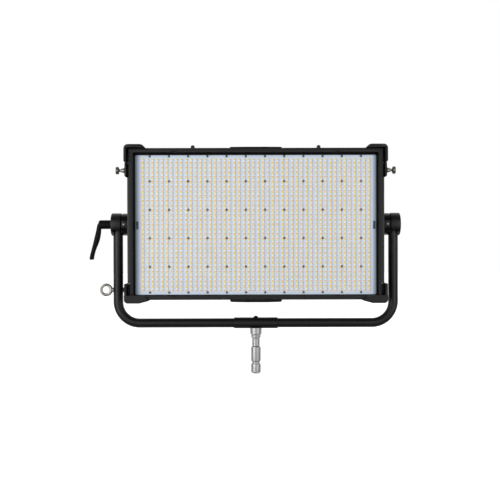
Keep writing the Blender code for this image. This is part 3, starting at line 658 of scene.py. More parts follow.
def make_spigot(finishes):
    """The turned spigot, cut to the collar's round at the top."""
    low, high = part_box("spigot")
    block_r = (high.x - low.x) / 2
    body = 0.014
    profile = [
        (low.z, 0.004, 0),
        (low.z, body - 0.0036, 0.001),
        (low.z + 0.0032, body, 0.0012),
        (low.z + 0.0262, body, 0.0003),
        (low.z + 0.0276, 0.0111, 0.0004),
        (low.z + 0.0324, 0.0111, 0.0004),
        (low.z + 0.0350, body, 0.0003),
        (low.z + 0.0740, body, 0.0004),
        (low.z + 0.0768, 0.0110, 0.0010),
        (low.z + 0.0986, 0.0110, 0.0010),
        (low.z + 0.1008, body - 0.0004, 0.0003),
        (low.z + 0.1088, body - 0.0004, 0.0003),
        (low.z + 0.1100, block_r - 0.0006, 0.0002),
        (low.z + 0.1107, block_r, 0.0003),
        (high.z + 0.0004, block_r, 0),
    ]
    bm = bmesh.new()
    add_turned(bm, "Z", rounded(profile, 0.0003, closed=False, steps=4), count=96)
    spigot = stand_in("spigot", bm, finishes["spigot"])
    saddle = bmesh.new()
    add_turned(saddle, "X", [(-0.030, TUBE_R + 0.0027), (0.030, TUBE_R + 0.0027)], (0.0, BAR_Z), 96)
    sharpen(carve(spigot, "DIFFERENCE", saddle))
    ring = bmesh.new()
    add_turned(ring, "Z", [(low.z - 0.001, 0.0030), (low.z + 0.003, 0.0018)], count=32)
    sharpen(carve(spigot, "DIFFERENCE", ring))


def make_spigot_bolt(finishes):
    """A domed socket screw on top of the collar."""
    low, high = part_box("spigot_bolt")
    seat = BAR_Z + TUBE_R + 0.0020
    top = high.z
    profile = [(low.z, 0.0030), (low.z, 0.0050), (seat, 0.0050), (seat, 0.0078)]
    profile += arc((seat - 0.0024, 0.0), 0.0078, 80, 22, 10)[2:]
    points = [(min(z, top), abs(radius)) for z, radius in profile]
    bm = bmesh.new()
    add_turned(bm, "Z", points, count=48)
    bolt = stand_in("spigot_bolt", bm, finishes["black_steel"])
    socket = bmesh.new()
    add_prism(socket, hexagon(0.0042), "Z", top - 0.0024, top + 0.001)
    sharpen(carve(bolt, "DIFFERENCE", socket))


def make_eye_bolt(finishes):
    """A forged ring that swells into its collared shank, and the thin nut inside the arm."""
    low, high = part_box("eye_bolt")
    outer = (high.z - low.z) / 2
    wire = 0.004
    ring = outer - wire
    centre = Vector((low.x + outer, 0.0, (low.z + high.z) / 2))
    path = []
    radii = []
    for x, z in arc((centre.x, centre.z), ring, 0, 360 - 360 / 64, 63):
        path.append(Vector((x, 0.0, z)))
        toward = max(0.0, (x - centre.x) / ring)
        radii.append(wire + 0.0009 * toward ** 6)
    bm = bmesh.new()
    add_sweep(bm, path, radii, 24, Vector((0.0, 1.0, 0.0)), closed=True)
    start = centre.x + ring
    arm_face = -ARM_X - TUBE_R
    shank = [(start, 0.0030), (start + 0.0010, 0.0046)]
    shank += [(arm_face - 0.0040, 0.0042), (arm_face - 0.0030, 0.0060)]
    shank += [(arm_face - 0.0006, 0.0062), (arm_face - 0.0002, 0.0058), (arm_face - 0.0002, 0.0040)]
    shank += [(high.x - 0.0008, 0.0040), (high.x, 0.0032)]
    add_turned(bm, "X", shank, (0.0, centre.z), 32)
    stand_in("eye_bolt", bm, finishes["steel"], 40.0)

    low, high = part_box("eye_bolt_nut")
    nut = bmesh.new()
    add_prism(nut, hexagon(0.0130), "X", low.x, high.x, (0.0, centre.z))
    made = stand_in("eye_bolt_nut", nut, finishes["black_steel"])
    soften(made, 0.0005, 2)


def make_lever(finishes):
    """A moulded clamping lever: a hub with an end button, flowing into a bent arm."""
    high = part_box("clamp_lever")[1]
    hub_r = 0.0125
    hub_end = high.x - 0.0360
    hub = [(high.x, 0.0108, 0.001), (high.x - 0.0012, hub_r, 0.001), (hub_end + 0.0030, hub_r, 0.003)]
    hub += [(hub_end, 0.0090, 0.002), (hub_end, 0.0040, 0)]
    bm = bmesh.new()
    add_turned(bm, "X", rounded(hub, 0.001, closed=False), (0.0, TILT.z), 48)
    arm = [
        (0.0060, -0.4362, 0.0028, 0.0038),
        (0.0010, -0.4380, 0.0058, 0.0064),
        (-0.0100, -0.4398, 0.0066, 0.0080),
        (-0.0220, -0.4414, 0.0076, 0.0078),
        (-0.0380, -0.4446, 0.0084, 0.0073),
        (-0.0520, -0.4484, 0.0079, 0.0069),
        (-0.0700, -0.4544, 0.0066, 0.0064),
        (-0.0850, -0.4585, 0.0064, 0.0061),
        (-0.0940, -0.4600, 0.0065, 0.0058),
        (-0.0976, -0.4604, 0.0060, 0.0052),
        (-0.0984, -0.4605, 0.0046, 0.0036),
    ]
    loops = []
    for z, centre_x, half_x, half_y in smooth_stations(arm, 5):
        loop = []
        for u, v in circle(1.0, 32):
            flat = max(abs(u), abs(v)) ** 0.22
            loop.append((centre_x + half_x * u / flat, half_y * v / flat, TILT.z + z))
        loops.append(loop)
    add_loft(bm, loops)
    lever = stand_in("clamp_lever", bm, finishes["lever"], 0)
    blend = lever.modifiers.new("blend", "REMESH")
    blend.mode = "VOXEL"
    blend.voxel_size = 0.0007
    blend.use_smooth_shade = True
    even = lever.modifiers.new("even", "SMOOTH")
    even.factor = 0.5
    even.iterations = 8
    bake(lever)
    bore = bmesh.new()
    add_turned(bore, "X", [(high.x + 0.010, 0.0084), (high.x - 0.0272, 0.0084)], (0.0, TILT.z), 48)
    sharpen(carve(lever, "DIFFERENCE", bore), 60.0)

    button = [(hub_end + 0.002, 0.0020, 0), (hub_end + 0.002, 0.0046, 0), (hub_end - 0.0006, 0.0046)]
    button += [(hub_end - 0.0010, 0.0020, 0)]
    bm = bmesh.new()
    add_turned(bm, "X", rounded(button, 0.0004, closed=False), (0.0, TILT.z), 32)
    piece("lever_button", bm, finishes["black_steel"], "clamp_handle")


def make_stud(finishes):
    """The clamp stud: a plain shank and the toothed insert that the lever drops onto."""
    low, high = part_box("clamp_stud")
    insert = low.x + 0.0150
    bm = bmesh.new()
    shank = [(high.x, 0.0050), (high.x - 0.0010, 0.0060), (insert, 0.0060)]
    add_turned(bm, "X", shank, (0.0, TILT.z), 32)
    teeth = []
    for step in range(96):
        turn = 2 * math.pi * step / 96
        radius = 0.0080 if step % 4 < 2 else 0.0074
        teeth.append((radius * math.cos(turn), radius * math.sin(turn)))
    add_prism(bm, teeth, "X", low.x, insert, (0.0, TILT.z))
    stand_in("clamp_stud", bm, finishes["steel"])


def make_yoke(finishes):
    make_yoke_tube(finishes)
    make_welds(finishes)
    make_drums(finishes)
    make_friction_discs(finishes)
    make_pivot_cap(finishes)
    make_collar(finishes)
    make_spigot(finishes)
    make_spigot_bolt(finishes)
    make_eye_bolt(finishes)
    make_lever(finishes)
    make_stud(finishes)


# ---------------------------------------------------------------- head, front


def head_loft(loops, ring=False):
    """Starts a mesh from rounded rectangles given as half width, half height, centre, corner and y."""
    bm = bmesh.new()
    made = []
    for half_w, half_h, centre_z, corner, y in loops:
        made.append(on_plane(rectangle(half_w, half_h, corner, 4), "Y", y, (0.0, TILT.z + centre_z)))
    add_loft(bm, made, ring)
    return bm


def make_front_frame(finishes):
    """The stepped frame, with its rounded rim, its ledge and the notches for the corner fittings."""
    half_w = FRAME_HIGH.x
    half_h = FRAME_HIGH.z - TILT.z
    ledge_front = FRAME_FRONT + 0.013
    ledge_back = BOARD_FRONT - 0.0003
    loops = [
        (half_w, half_h, 0.0, 0.0030, FRAME_BACK),
        (half_w, half_h, 0.0, 0.0030, FRAME_FRONT + 0.0030),
        (half_w - 0.0003, half_h - 0.0003, 0.0, 0.0030, FRAME_FRONT + 0.0018),
        (half_w - 0.0010, half_h - 0.0010, 0.0, 0.0028, FRAME_FRONT + 0.0009),
        (half_w - 0.0024, half_h - 0.0024, 0.0, 0.0024, FRAME_FRONT + 0.0004),
        (LIP_W + 0.0016, LIP_H + 0.0016, 0.0, 0.0040, FRAME_FRONT),
        (LIP_W + 0.0006, LIP_H + 0.0006, 0.0, 0.0036, FRAME_FRONT + 0.0003),
        (LIP_W, LIP_H, 0.0, 0.0034, FRAME_FRONT + 0.0012),
        (LIP_W - 0.0010, LIP_H - 0.0005, 0.0, 0.0030, ledge_front),
        (LEDGE_W + 0.0005, LEDGE_H + 0.0005, LEDGE_Z, 0.0034, ledge_front),
        (LEDGE_W, LEDGE_H, LEDGE_Z, 0.0030, ledge_front + 0.0006),
        (LEDGE_W, LEDGE_H, LEDGE_Z, 0.0030, ledge_back),
        (LIP_W + 0.0035, LIP_H + 0.0035, 0.0, 0.0020, ledge_back),
        (LIP_W + 0.0035, LIP_H + 0.0035, 0.0, 0.0020, FRAME_BACK),
    ]
    made = stand_in("front_frame", head_loft(loops, ring=True), finishes["frame"], 28.0)
    cuts = bmesh.new()
    latch_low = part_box("right_latch_block")[0]
    pocket_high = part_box("right_bottom_bracket")[1]
    top_x = latch_low.x - 0.0003
    for side in (-1, 1):
        for notch_x, low_z, high_z in (
            (top_x, latch_low.z - 0.0003, TILT.z + half_h + 0.02),
            (BOTTOM_BASE_X, TILT.z - half_h - 0.02, pocket_high.z + 0.0003),
        ):
            edges = sorted((side * notch_x, side * (half_w + 0.02)))
            add_box(cuts, (edges[0], FRAME_FRONT - 0.01, low_z), (edges[1], FRAME_BACK + 0.01, high_z))
        for up in (-1, 1):
            span = sorted((TILT.z + up * (LIP_H - 0.003), TILT.z + up * (LIP_H + 0.0035)))
            left = side * 0.222 - 0.0085
            low = (left, FRAME_FRONT - 0.005, span[0])
            high = (left + 0.017, FRAME_FRONT + 0.0085, span[1])
            add_box(cuts, low, high)
    sharpen(carve(made, "DIFFERENCE", cuts), 28.0)
    # The inner walls and ledge take the darker black: painted shade for the shadow inside the lip.
    made.data.materials.append(finishes["painted_lip_shade"])
    for face in made.data.polygons:
        x, y, z = face.center
        inside = abs(x) < LIP_W + 0.0004 and abs(z - TILT.z) < LIP_H + 0.0004
        if inside and y > FRAME_FRONT + 0.0007:
            face.material_index = 1


def make_corner(node_name, outline, front, back, finish, edge, extras):
    """A corner fitting: a softly edged profile from front to back, joined to plain blocks."""
    bm = bmesh.new()
    add_prism(bm, outline, "Y", front, back, (0.0, TILT.z))
    made = bake(soften(stand_in(node_name, bm, finish), edge, 3))
    for extra in extras:
        carve(made, "UNION", extra)
    return sharpen(made, 30.0)


def block(side, inner_x, outer_x, y_span, z_span):
    edges = sorted((side * inner_x, side * outer_x))
    bm = bmesh.new()
    low = (edges[0], y_span[0], TILT.z + z_span[0])
    high = (edges[1], y_span[1], TILT.z + z_span[1])
    add_box(bm, low, high)
    return bm


def make_top_bracket(side_name, side, finishes):
    node_name = side_name + "_top_bracket"
    low, high = corners(node_name)
    outer = max(abs(low.x), abs(high.x))
    inner = outer - 0.0065
    bottom = 0.1685
    points = [(inner, bottom), (outer - 0.0020, bottom)]
    points += [(outer, bottom + 0.0030), (outer, high.z, 0.0115)]
    points += [(0.3140, high.z, 0.004), (0.3075, high.z - 0.0025)]
    points += [(0.3020, 0.2083, 0), (inner, 0.2083, 0.0004)]
    outline = mirrored(rounded(points, 0.0010, steps=6), side)
    base = block(side, 0.3478, 0.3560, (low.y + 0.036, high.y - 0.002), (bottom + 0.0015, high.z - 0.004))
    make_corner(node_name, outline, low.y, high.y, finishes["bracket"], 0.0013, [base])


def make_bottom_bracket(side_name, side, finishes):
    """The bottom pocket: an outer lip and floor, closed in front by a thick flange."""
    node_name = side_name + "_bottom_bracket"
    low, high = corners(node_name)
    outer = max(abs(low.x), abs(high.x))
    inner = outer - 0.0065
    corner = (outer, low.z, 0.0105)
    points = [(inner, high.z), (outer - 0.0015, high.z), (outer, high.z - 0.0020), corner]
    points += [(0.3170, low.z, 0.004), (0.2930, -0.2100), (0.2930, -0.2083, 0), (inner, -0.2083, 0)]
    outline = mirrored(rounded(points, 0.0008, steps=6), side)
    face = [(outer, -0.1950, 0.0008), corner, (0.3170, low.z, 0.004), (0.2925, -0.2090)]
    face += [(0.2990, -0.2040), (0.3080, -0.1950)]
    flange_outline = mirrored(rounded(face, 0.0012, steps=6), side)
    flange = bmesh.new()
    add_prism(flange, flange_outline, "Y", low.y, low.y + 0.0045, (0.0, TILT.z))
    base = block(side, BOTTOM_BASE_X + 0.0003, 0.3560, (low.y + 0.036, high.y - 0.002), (-0.2120, -0.1650))
    finish = finishes["bracket"]
    extras = [flange, base]
    make_corner(node_name, outline, low.y + 0.0035, high.y, finish, 0.0008, extras)


def make_latch_block(side_name, side, finishes):
    node_name = side_name + "_latch_block"
    low, high = corners(node_name)
    outer = max(abs(low.x), abs(high.x)) - 0.0026
    points = [(0.3530, low.z), (outer - 0.0040, low.z), (outer, low.z + 0.0035), (outer, high.z - 0.0028)]
    points += [(outer - 0.0018, high.z), (0.3530, high.z)]
    outline = mirrored(rounded(points, 0.0010, steps=4), side)
    base = block(side, 0.3478, 0.3560, (low.y + 0.029, high.y - 0.002), (low.z + 0.0015, high.z - 0.0012))
    made = make_corner(
        node_name, outline, low.y, high.y, finishes["bracket"], 0.0008, [base]
    )
    screws = bmesh.new()
    for y in (low.y + 0.005, high.y - 0.008):
        span = sorted((side * (outer - 0.0008), side * (outer + 0.002)))
        add_turned(screws, "X", [(span[0], 0.0022), (span[1], 0.0022)], (y, TILT.z + high.z - 0.010), 24)
    carve(made, "DIFFERENCE", screws)
    bush_low, bush_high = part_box(side_name + "_plunger_bush")
    centre = ((bush_low.y + bush_high.y) / 2, (bush_low.z + bush_high.z) / 2)
    bore = bmesh.new()
    add_turned(bore, "X", mirrored([(0.3530, 0.0046), (outer + 0.002, 0.0046)], side), centre, 48)
    sharpen(carve(made, "DIFFERENCE", bore), 30.0)


def make_plunger(side_name, side, finishes):
    """A hexagon bush with a cone, and a waisted pull knob with a rolled rim."""
    node_name = side_name + "_plunger_bush"
    low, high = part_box(node_name)
    centre = ((low.y + high.y) / 2, (low.z + high.z) / 2)
    start, end = side_span(node_name)
    flange = start + 0.0049
    bm = bmesh.new()
    profile = [(start, 0.0030), (start, 0.0045), (flange, 0.0045)]
    profile += [(flange, 0.0060), (flange + 0.0015, 0.0062)]
    profile += [(flange + 0.0022, 0.0072), (end - 0.0004, 0.0046), (end, 0.0040), (end, 0.0030)]
    add_turned(bm, "X", mirrored(profile, side), centre, 48, ring=True)
    corner = 0.0150 / math.sqrt(3)
    nut = [(flange + 0.0001, 0.0040), (flange + 0.0001, corner)]
    nut += [(flange + 0.0021, corner), (flange + 0.0021, 0.0040)]
    add_turned(bm, "X", mirrored(nut, side), centre, 6, ring=True)
    stand_in(node_name, bm, finishes["knob_steel"])

    node_name = side_name + "_pull_knob"
    low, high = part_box(node_name)
    start, end = side_span(node_name)
    rim = (high.z - low.z) / 2
    knob = [(start + 0.0034, 0.0016, 0), (start + 0.0042, 0.0026, 0)]
    knob += [(end - 0.0124, 0.0026, 0.001), (end - 0.0104, 0.0038)]
    knob += [(end - 0.0090, 0.0068, 0.002), (end - 0.0082, rim - 0.0002, 0.0010), (end - 0.0010, rim, 0.0012)]
    knob += [(end - 0.0002, rim - 0.0024, 0.001), (end, 0.0030, 0)]
    points = mirrored(rounded(knob, 0.0004, closed=False, steps=4), side)
    turned_look(node_name, "X", points, finishes["knob_steel"], centre, 64)


def make_pads(finishes):
    """The rubber pads on the middle of the long edges, each with a stepped foot."""
    for node_name, up in (("top_pad", 1), ("bottom_pad", -1)):
        low, high = corners(node_name)
        half = high.x
        seat = low.z if up > 0 else high.z
        crown = high.z if up > 0 else low.z
        thick = abs(crown - seat)
        points = [(-half, seat), (half, seat), (half, seat + up * 0.4 * thick)]
        points += [(half - 0.0030, crown - up * 0.15 * thick), (0.42 * half, crown)]
        points += [(-0.42 * half, crown), (-half + 0.0030, crown - up * 0.15 * thick)]
        points += [(-half, seat + up * 0.4 * thick)]
        bm = bmesh.new()
        add_prism(bm, rounded(points, 0.0006, steps=3), "Y", low.y, high.y, (0.0, TILT.z))
        soften(stand_in(node_name, bm, finishes["rubber"]), 0.0005, 2)


def make_top_studs(finishes):
    for node_name in ("left_top_stud", "right_top_stud"):
        low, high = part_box(node_name)
        radius = (high.x - low.x) / 2
        centre = ((low.x + high.x) / 2, (low.y + high.y) / 2)
        profile = [(low.z, 0.0030), (low.z, radius - 0.0003), (low.z + 0.0010, radius)]
        profile += [(low.z + 0.0040, radius)]
        height = high.z - low.z - 0.0040
        for step in range(1, 8):
            turn = math.radians(80 * step / 7)
            profile.append((low.z + 0.0040 + height * math.sin(turn), radius * math.cos(turn)))
        turned_look(node_name, "Z", profile, finishes["gloss"], centre, 32)


def make_hub_discs(finishes):
    """Gloss black hubs on the head's sides, each with a set screw in its front."""
    for side_name, side in SIDES:
        node_name = side_name + "_hub_disc"
        low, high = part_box(node_name)
        start, end = side_span(node_name)
        radius = (high.z - low.z) / 2
        profile = [(start, 0.0064, 0), (start, radius), (end, radius, 0.0022), (end, 0.0064, 0)]
        points = mirrored(rounded(profile, 0.0006, steps=6), side)
        turned_look(node_name, "X", points, finishes["hub"], (0.0, TILT.z), 96, ring=True)
        bm = bmesh.new()
        add_screw(bm, "Y", -1, (side * 0.3662, TILT.z), -radius + 0.0003, 0.0034, 0.0020, 0.0026)
        piece(side_name + "_hub_screw", bm, finishes["steel"], "head", 50.0)


def make_head_front(finishes):
    make_front_frame(finishes)
    make_pads(finishes)
    make_top_studs(finishes)
    make_hub_discs(finishes)
    for side_name, side in SIDES:
        make_top_bracket(side_name, side, finishes)
        make_bottom_bracket(side_name, side, finishes)
        make_latch_block(side_name, side, finishes)
        make_plunger(side_name, side, finishes)


# ---------------------------------------------------------------- head, LED board


def scattered(name, shape, places, finish, sharp=35.0):
    """A piece of the head made of one closed shape repeated at each place."""
    verts, faces = shape
    count = len(verts)
    points = []
    polygons = []
    for i, place in enumerate(places):
        points += [(place[0] + x, place[1] + y, place[2] + z) for x, y, z in verts]
        polygons += [[i * count + corner for corner in face] for face in faces]
    bm = bmesh.new()
    mesh = bpy.data.meshes.new(name)
    mesh.from_pydata(points, [], polygons)
    bm.from_mesh(mesh)
    bpy.data.meshes.remove(mesh)
    return piece(name, bm, finish, "head", sharp)


def shape_of(loops, ring=False):
    """The corners and faces of a solid through loops of equal length."""
    bm = bmesh.new()
    add_loft(bm, loops, ring)
    bmesh.ops.recalc_face_normals(bm, faces=bm.faces)
    bm.verts.index_update()
    verts = [tuple(vert.co) for vert in bm.verts]
    faces = [[vert.index for vert in face.verts] for face in bm.faces]
    bm.free()
    return verts, faces


def led_place(column, row):
    x = (column - (LED_COLUMNS - 1) / 2) * LED_PITCH_X
    z = TILT.z + LED_CENTRE_Z + ((LED_ROWS - 1) / 2 - row) * LED_PITCH_Z
    return x, BOARD_FRONT, z


def bevelled_slab(half_w, half_h, front, edge, sides=4):
    """A slab standing on the board, with a sloped edge round its front."""
    foot = rectangle(half_w, half_h, 0.25 * half_h, 1) if sides > 4 else rectangle(half_w, half_h, 0)
    crown_w = half_w - edge
    crown_h = half_h - edge
    crown = rectangle(crown_w, crown_h, 0.25 * crown_h, 1) if sides > 4 else rectangle(crown_w, crown_h, 0)
    loops = [on_plane(foot, "Y", -0.0001), on_plane(foot, "Y", -front + edge), on_plane(crown, "Y", -front)]
    return loops


def make_leds(finishes):
    """White packages with a shallow cup, filled with yellow, pale or amber phosphor."""
    places = []
    by_colour = {"yellow": [], "pale": [], "amber": []}
    order = ("yellow", "pale", "amber")
    for row in range(LED_ROWS):
        for column in range(LED_COLUMNS):
            place = led_place(column, row)
            places.append(place)
            by_colour[order[row % 3]].append(place)
    shell = bevelled_slab(0.0025, 0.00170, 0.0010, 0.0001)
    cup = rectangle(0.00232, 0.00155, 0)
    floor = rectangle(0.0021, 0.0014, 0)
    shell += [on_plane(cup, "Y", -0.0010), on_plane(floor, "Y", -0.0006)]
    scattered("led_packages", shape_of(shell), places, finishes["package"], 20.0)
    fill = bevelled_slab(0.00225, 0.00148, 0.00096, 0.0002, 8)
    middle = rectangle(0.0014, 0.0009, 0.0001, 1)
    fill.append(on_plane(middle, "Y", -0.00106))
    for name, spots in by_colour.items():
        scattered(name + "_phosphor", shape_of(fill), spots, finishes[name], 0)


def make_board_chips(finishes):
    """A small resistor beside each LED, with its two solder ends."""
    chips = []
    ends = []
    for row in range(LED_ROWS):
        for column in range(LED_COLUMNS):
            x, y, z = led_place(column, row)
            chips.append((x + 0.0046, y, z))
            ends.append((x + 0.0046 - 0.0012, y, z))
            ends.append((x + 0.0046 + 0.0012, y, z))
    body = shape_of(bevelled_slab(0.0010, 0.0006, 0.00045, 0.00005))
    cap = shape_of(bevelled_slab(0.00018, 0.00045, 0.0005, 0.00008))
    scattered("board_chips", body, chips, finishes["chip"], 20.0)
    scattered("board_solder", cap, ends, finishes["tin"], 20.0)


def hex_loop(across_flats, count=24):
    """A hexagon with as many points as the circles it is joined to."""
    points = []
    for step in range(count):
        turn = 2 * math.pi * step / count
        offset = math.remainder(turn - math.pi / 6, math.pi / 3)
        radius = across_flats / 2 / math.cos(offset)
        points.append((radius * math.cos(turn), radius * math.sin(turn)))
    return points


def screw_loops(radius, height, socket, count=24):
    """A button-head screw facing -Y from y = 0, with a hexagon socket."""
    loops = []
    for outward, size in ((-0.0002, 1.0), (0.25 * height, 1.0), (0.7 * height, 0.90), (height, 0.66)):
        loops.append(on_plane(circle(size * radius, count), "Y", -outward))
    for outward, size in ((height, 1.0), (0.35 * height, 0.96)):
        loops.append(on_plane(hex_loop(size * socket, count), "Y", -outward))
    return loops


def make_board_screws(finishes):
    """The screws that hold the board, each with a flat washer."""
    places = []
    for z in SCREW_ROWS_Z:
        for column in range(SCREW_COLUMNS):
            x = (column - (SCREW_COLUMNS - 1) / 2) * SCREW_PITCH_X - 0.0008
            places.append((x, BOARD_FRONT, TILT.z + z))
    washer = []
    section = ((-0.0001, 0.0036), (0.0005, 0.0036), (0.0006, 0.0034), (0.0006, 0.0018), (-0.0001, 0.0018))
    for outward, radius in section:
        washer.append(on_plane(circle(radius, 24), "Y", -outward))
    scattered("board_washers", shape_of(washer, ring=True), places, finishes["washer"], 20.0)
    seats = [(x, y - 0.0007, z) for x, y, z in places]
    screw = shape_of(screw_loops(0.0028, 0.0014, 0.0024))
    scattered("board_screws", screw, seats, finishes["screw"], 30.0)


def make_board_connectors(finishes):
    """Low plugs on the board's side margins: a housing with a row of four slots cut in its front."""
    for node_name in ("left_board_connector", "right_board_connector"):
        low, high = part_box(node_name)
        middle = (low + high) / 2
        bm = bmesh.new()
        add_box(bm, (low.x, low.y + 0.0002, low.z), (high.x, high.y, high.z))
        made = stand_in(node_name, bm, finishes["marking"])
        bake(soften(made, min(0.0003, 0.2 * (high.y - low.y)), 2))
        cuts = bmesh.new()
        ways = 4
        pitch = (high.z - low.z) * 0.8 / ways
        for way in range(ways):
            z = middle.z + (way - (ways - 1) / 2) * pitch
            span = 0.28 * (high.x - low.x)
            add_box(
                cuts,
                (middle.x - span, low.y - 0.001, z - 0.3 * pitch),
                (middle.x + span, low.y + 0.5 * (high.y - low.y), z + 0.3 * pitch),
            )
        sharpen(carve(made, "DIFFERENCE", cuts))


def make_board(finishes):
    make_leds(finishes)
    make_board_chips(finishes)
    make_board_screws(finishes)
    make_board_connectors(finishes)


# ---------------------------------------------------------------- head, back


def add_screw(bm, axis, sign, centre, seat, radius=0.0030, height=0.0018, socket=0.0025):
    """A button-head screw that stands out from its seat along the axis, with a hexagon socket."""
    loops = []
    for outward, size in ((-0.0008, 1.0), (0.25 * height, 1.0), (0.7 * height, 0.90), (height, 0.66)):
        loops.append(on_plane(circle(size * radius, 24), axis, seat + sign * outward, centre))
    for outward, size in ((height, 1.0), (0.3 * height, 0.96)):
        loops.append(on_plane(hex_loop(size * socket), axis, seat + sign * outward, centre))
    add_loft(bm, loops)


def make_housing(finishes):
    """The cast tray behind the frame, with a rounded back edge and its screws."""
    low, high = corners("housing")
    half_w, half_h = high.x, high.z
    wall = 0.0028
    edge = 0.008
    steps = [(wall, high.y - 0.004), (wall, low.y), (0.0, low.y), (0.0, high.y - edge)]
    for y, inset in arc((high.y - edge, edge), edge, 270, 360, 8)[1:]:
        steps.append((inset, y))
    loops = []
    for inset, y in steps:
        outline = rectangle(half_w - inset, half_h - inset, 0.0125 - inset, 6)
        loops.append(on_plane(outline, "Y", y, (0.0, TILT.z)))
    bm = bmesh.new()
    add_loft(bm, loops)
    made = stand_in("housing", bm, finishes["casing"], 30.0)
    grooves = bmesh.new()
    for up in (-1, 1):
        for column in range(-3, 4):
            x = 0.092 * column
            span = sorted((TILT.z + up * (half_h - 0.0010), TILT.z + up * (half_h + 0.005)))
            outline = rectangle(0.030, 0.0030, 0.0030, 6)
            add_prism(grooves, outline, "Z", span[0], span[1], (x, low.y + 0.022))
    sharpen(carve(made, "DIFFERENCE", grooves), 30.0)
    screws = bmesh.new()
    for x in (-0.334, 0.334):
        for z in (-0.150, -0.050, 0.050, 0.150):
            add_screw(screws, "Y", 1, (x, TILT.z + z), high.y)
    for x in (-0.240, -0.080, 0.080, 0.240):
        for z in (-0.1945, 0.1945):
            add_screw(screws, "Y", 1, (x, TILT.z + z), high.y)
    for side in (-1, 1):
        for z in (-0.175, -0.080, 0.080):
            add_screw(screws, "X", side, (low.y + 0.014, TILT.z + z), side * half_w, 0.0028)
    piece("housing_screws", screws, finishes["black_steel"], "head", 30.0)


def make_heat_sink(finishes):
    """The extruded heat sink, with rounded fin tips and small fillets at the fins' roots."""
    low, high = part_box("heat_sink")
    root = low.y + 0.0045
    fins = 31
    half_fin = 0.001
    reach = high.x - half_fin
    points = [(low.x, low.y, 0), (high.x, low.y, 0)]
    for fin in range(fins):
        centre = reach - 2 * reach * fin / (fins - 1)
        if fin > 0:
            points.append((centre + half_fin + 0.0003, root, 0.0016))
        points.append((centre + half_fin, high.y, 0.0009))
        points.append((centre - half_fin, high.y, 0.0009))
        if fin < fins - 1:
            points.append((centre - half_fin - 0.0003, root, 0.0016))
    bm = bmesh.new()
    add_prism(bm, rounded(points, 0.0005, steps=3), "Z", low.z, high.z)
    stand_in("heat_sink", bm, finishes["fins"], 25.0)


def slot_row(x, z, half_w, half_h, bm, low_y, high_y):
    outline = rectangle(half_w, half_h, min(half_w, half_h) * 0.98, 5)
    add_prism(bm, outline, "Y", low_y, high_y, (x, TILT.z + z))


def cut_cover(cover, back):
    """Cuts the fan slots, the side vents and the openings for the controls and the plate."""
    low_y = back - 0.012
    high_y = back + 0.012
    fan_x = JOINTS["right_fan_spin"]["pos_m"][0]
    knob = JOINTS["dimmer_turn"]["pos_m"]
    cuts = bmesh.new()
    for side in (-1, 1):
        for row in range(-3, 4):
            z = 0.010 * row
            half = math.sqrt(0.036 ** 2 - z ** 2)
            slot_row(side * fan_x, z, half, 0.003, cuts, low_y, high_y)
        add_turned(cuts, "Y", [(low_y, 0.0038), (high_y, 0.0038)], (side * knob[0], knob[2]), 32)
    low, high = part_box("display_window")
    outline = rectangle((high.x - low.x) / 2 + 0.0003, (high.z - low.z) / 2 + 0.0003, 0.0013, 3)
    add_prism(cuts, outline, "Y", low_y, high_y, (0.0, (low.z + high.z) / 2))
    for number in range(1, 5):
        low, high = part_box("menu_button_" + str(number))
        centre = ((low.x + high.x) / 2, (low.z + high.z) / 2)
        add_turned(cuts, "Y", [(low_y, 0.0052), (high_y, 0.0052)], centre, 32)
    low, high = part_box("connector_plate")
    outline = rectangle((high.x - low.x) / 2 + 0.0003, (high.z - low.z) / 2 + 0.0003, 0.003, 5)
    add_prism(cuts, outline, "Y", low_y, high_y, ((low.x + high.x) / 2, (low.z + high.z) / 2))
    carve(cover, "DIFFERENCE", cuts)
    vents = bmesh.new()
    low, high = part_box("rear_cover")
    for up in (-1, 1):
        edge = TILT.z + up * (high.z - low.z) / 2
        span = sorted((edge - up * 0.006, edge + up * 0.006))
        for column in range(-8, 9):
            outline = rectangle(0.0075, 0.0016, 0.0015, 4)
            add_prism(vents, outline, "Z", span[0], span[1], (0.022 * column, back - 0.022))
            add_prism(vents, outline, "Z", span[0], span[1], (0.022 * column, back - 0.030))
    carve(cover, "DIFFERENCE", vents)


def make_rear_cover(finishes):
    """The electronics cover: a pressed box with rounded edges, vents and a shallow panel line."""
    low, high = corners("rear_cover")
    half_w, half_h = high.x, high.z
    wall = 0.003
    edge = 0.006
    steps = [(wall, high.y - wall), (wall, low.y), (0.0, low.y), (0.0, high.y - edge)]
    for y, inset in arc((high.y - edge, edge), edge, 270, 360, 8)[1:]:
        steps.append((inset, y))
    steps += [(0.0090, high.y), (0.0093, high.y - 0.0005), (0.0103, high.y - 0.0005), (0.0106, high.y)]
    loops = []
    for inset, y in steps:
        outline = rectangle(half_w - inset, half_h - inset, 0.0125 - inset / 2, 6)
        loops.append(on_plane(outline, "Y", y, (0.0, TILT.z)))
    bm = bmesh.new()
    add_loft(bm, loops)
    cover = stand_in("rear_cover", bm, finishes["casing"], 30.0)
    cut_cover(cover, high.y)
    sharpen(cover, 30.0)
    screws = bmesh.new()
    for x in (-0.197, -0.110, 0.110, 0.197):
        for z in (-0.087, 0.087):
            add_screw(screws, "Y", 1, (x, TILT.z + z), high.y, 0.0032, 0.0018, 0.0027)
    piece("cover_screws", screws, finishes["black_steel"], "head", 30.0)


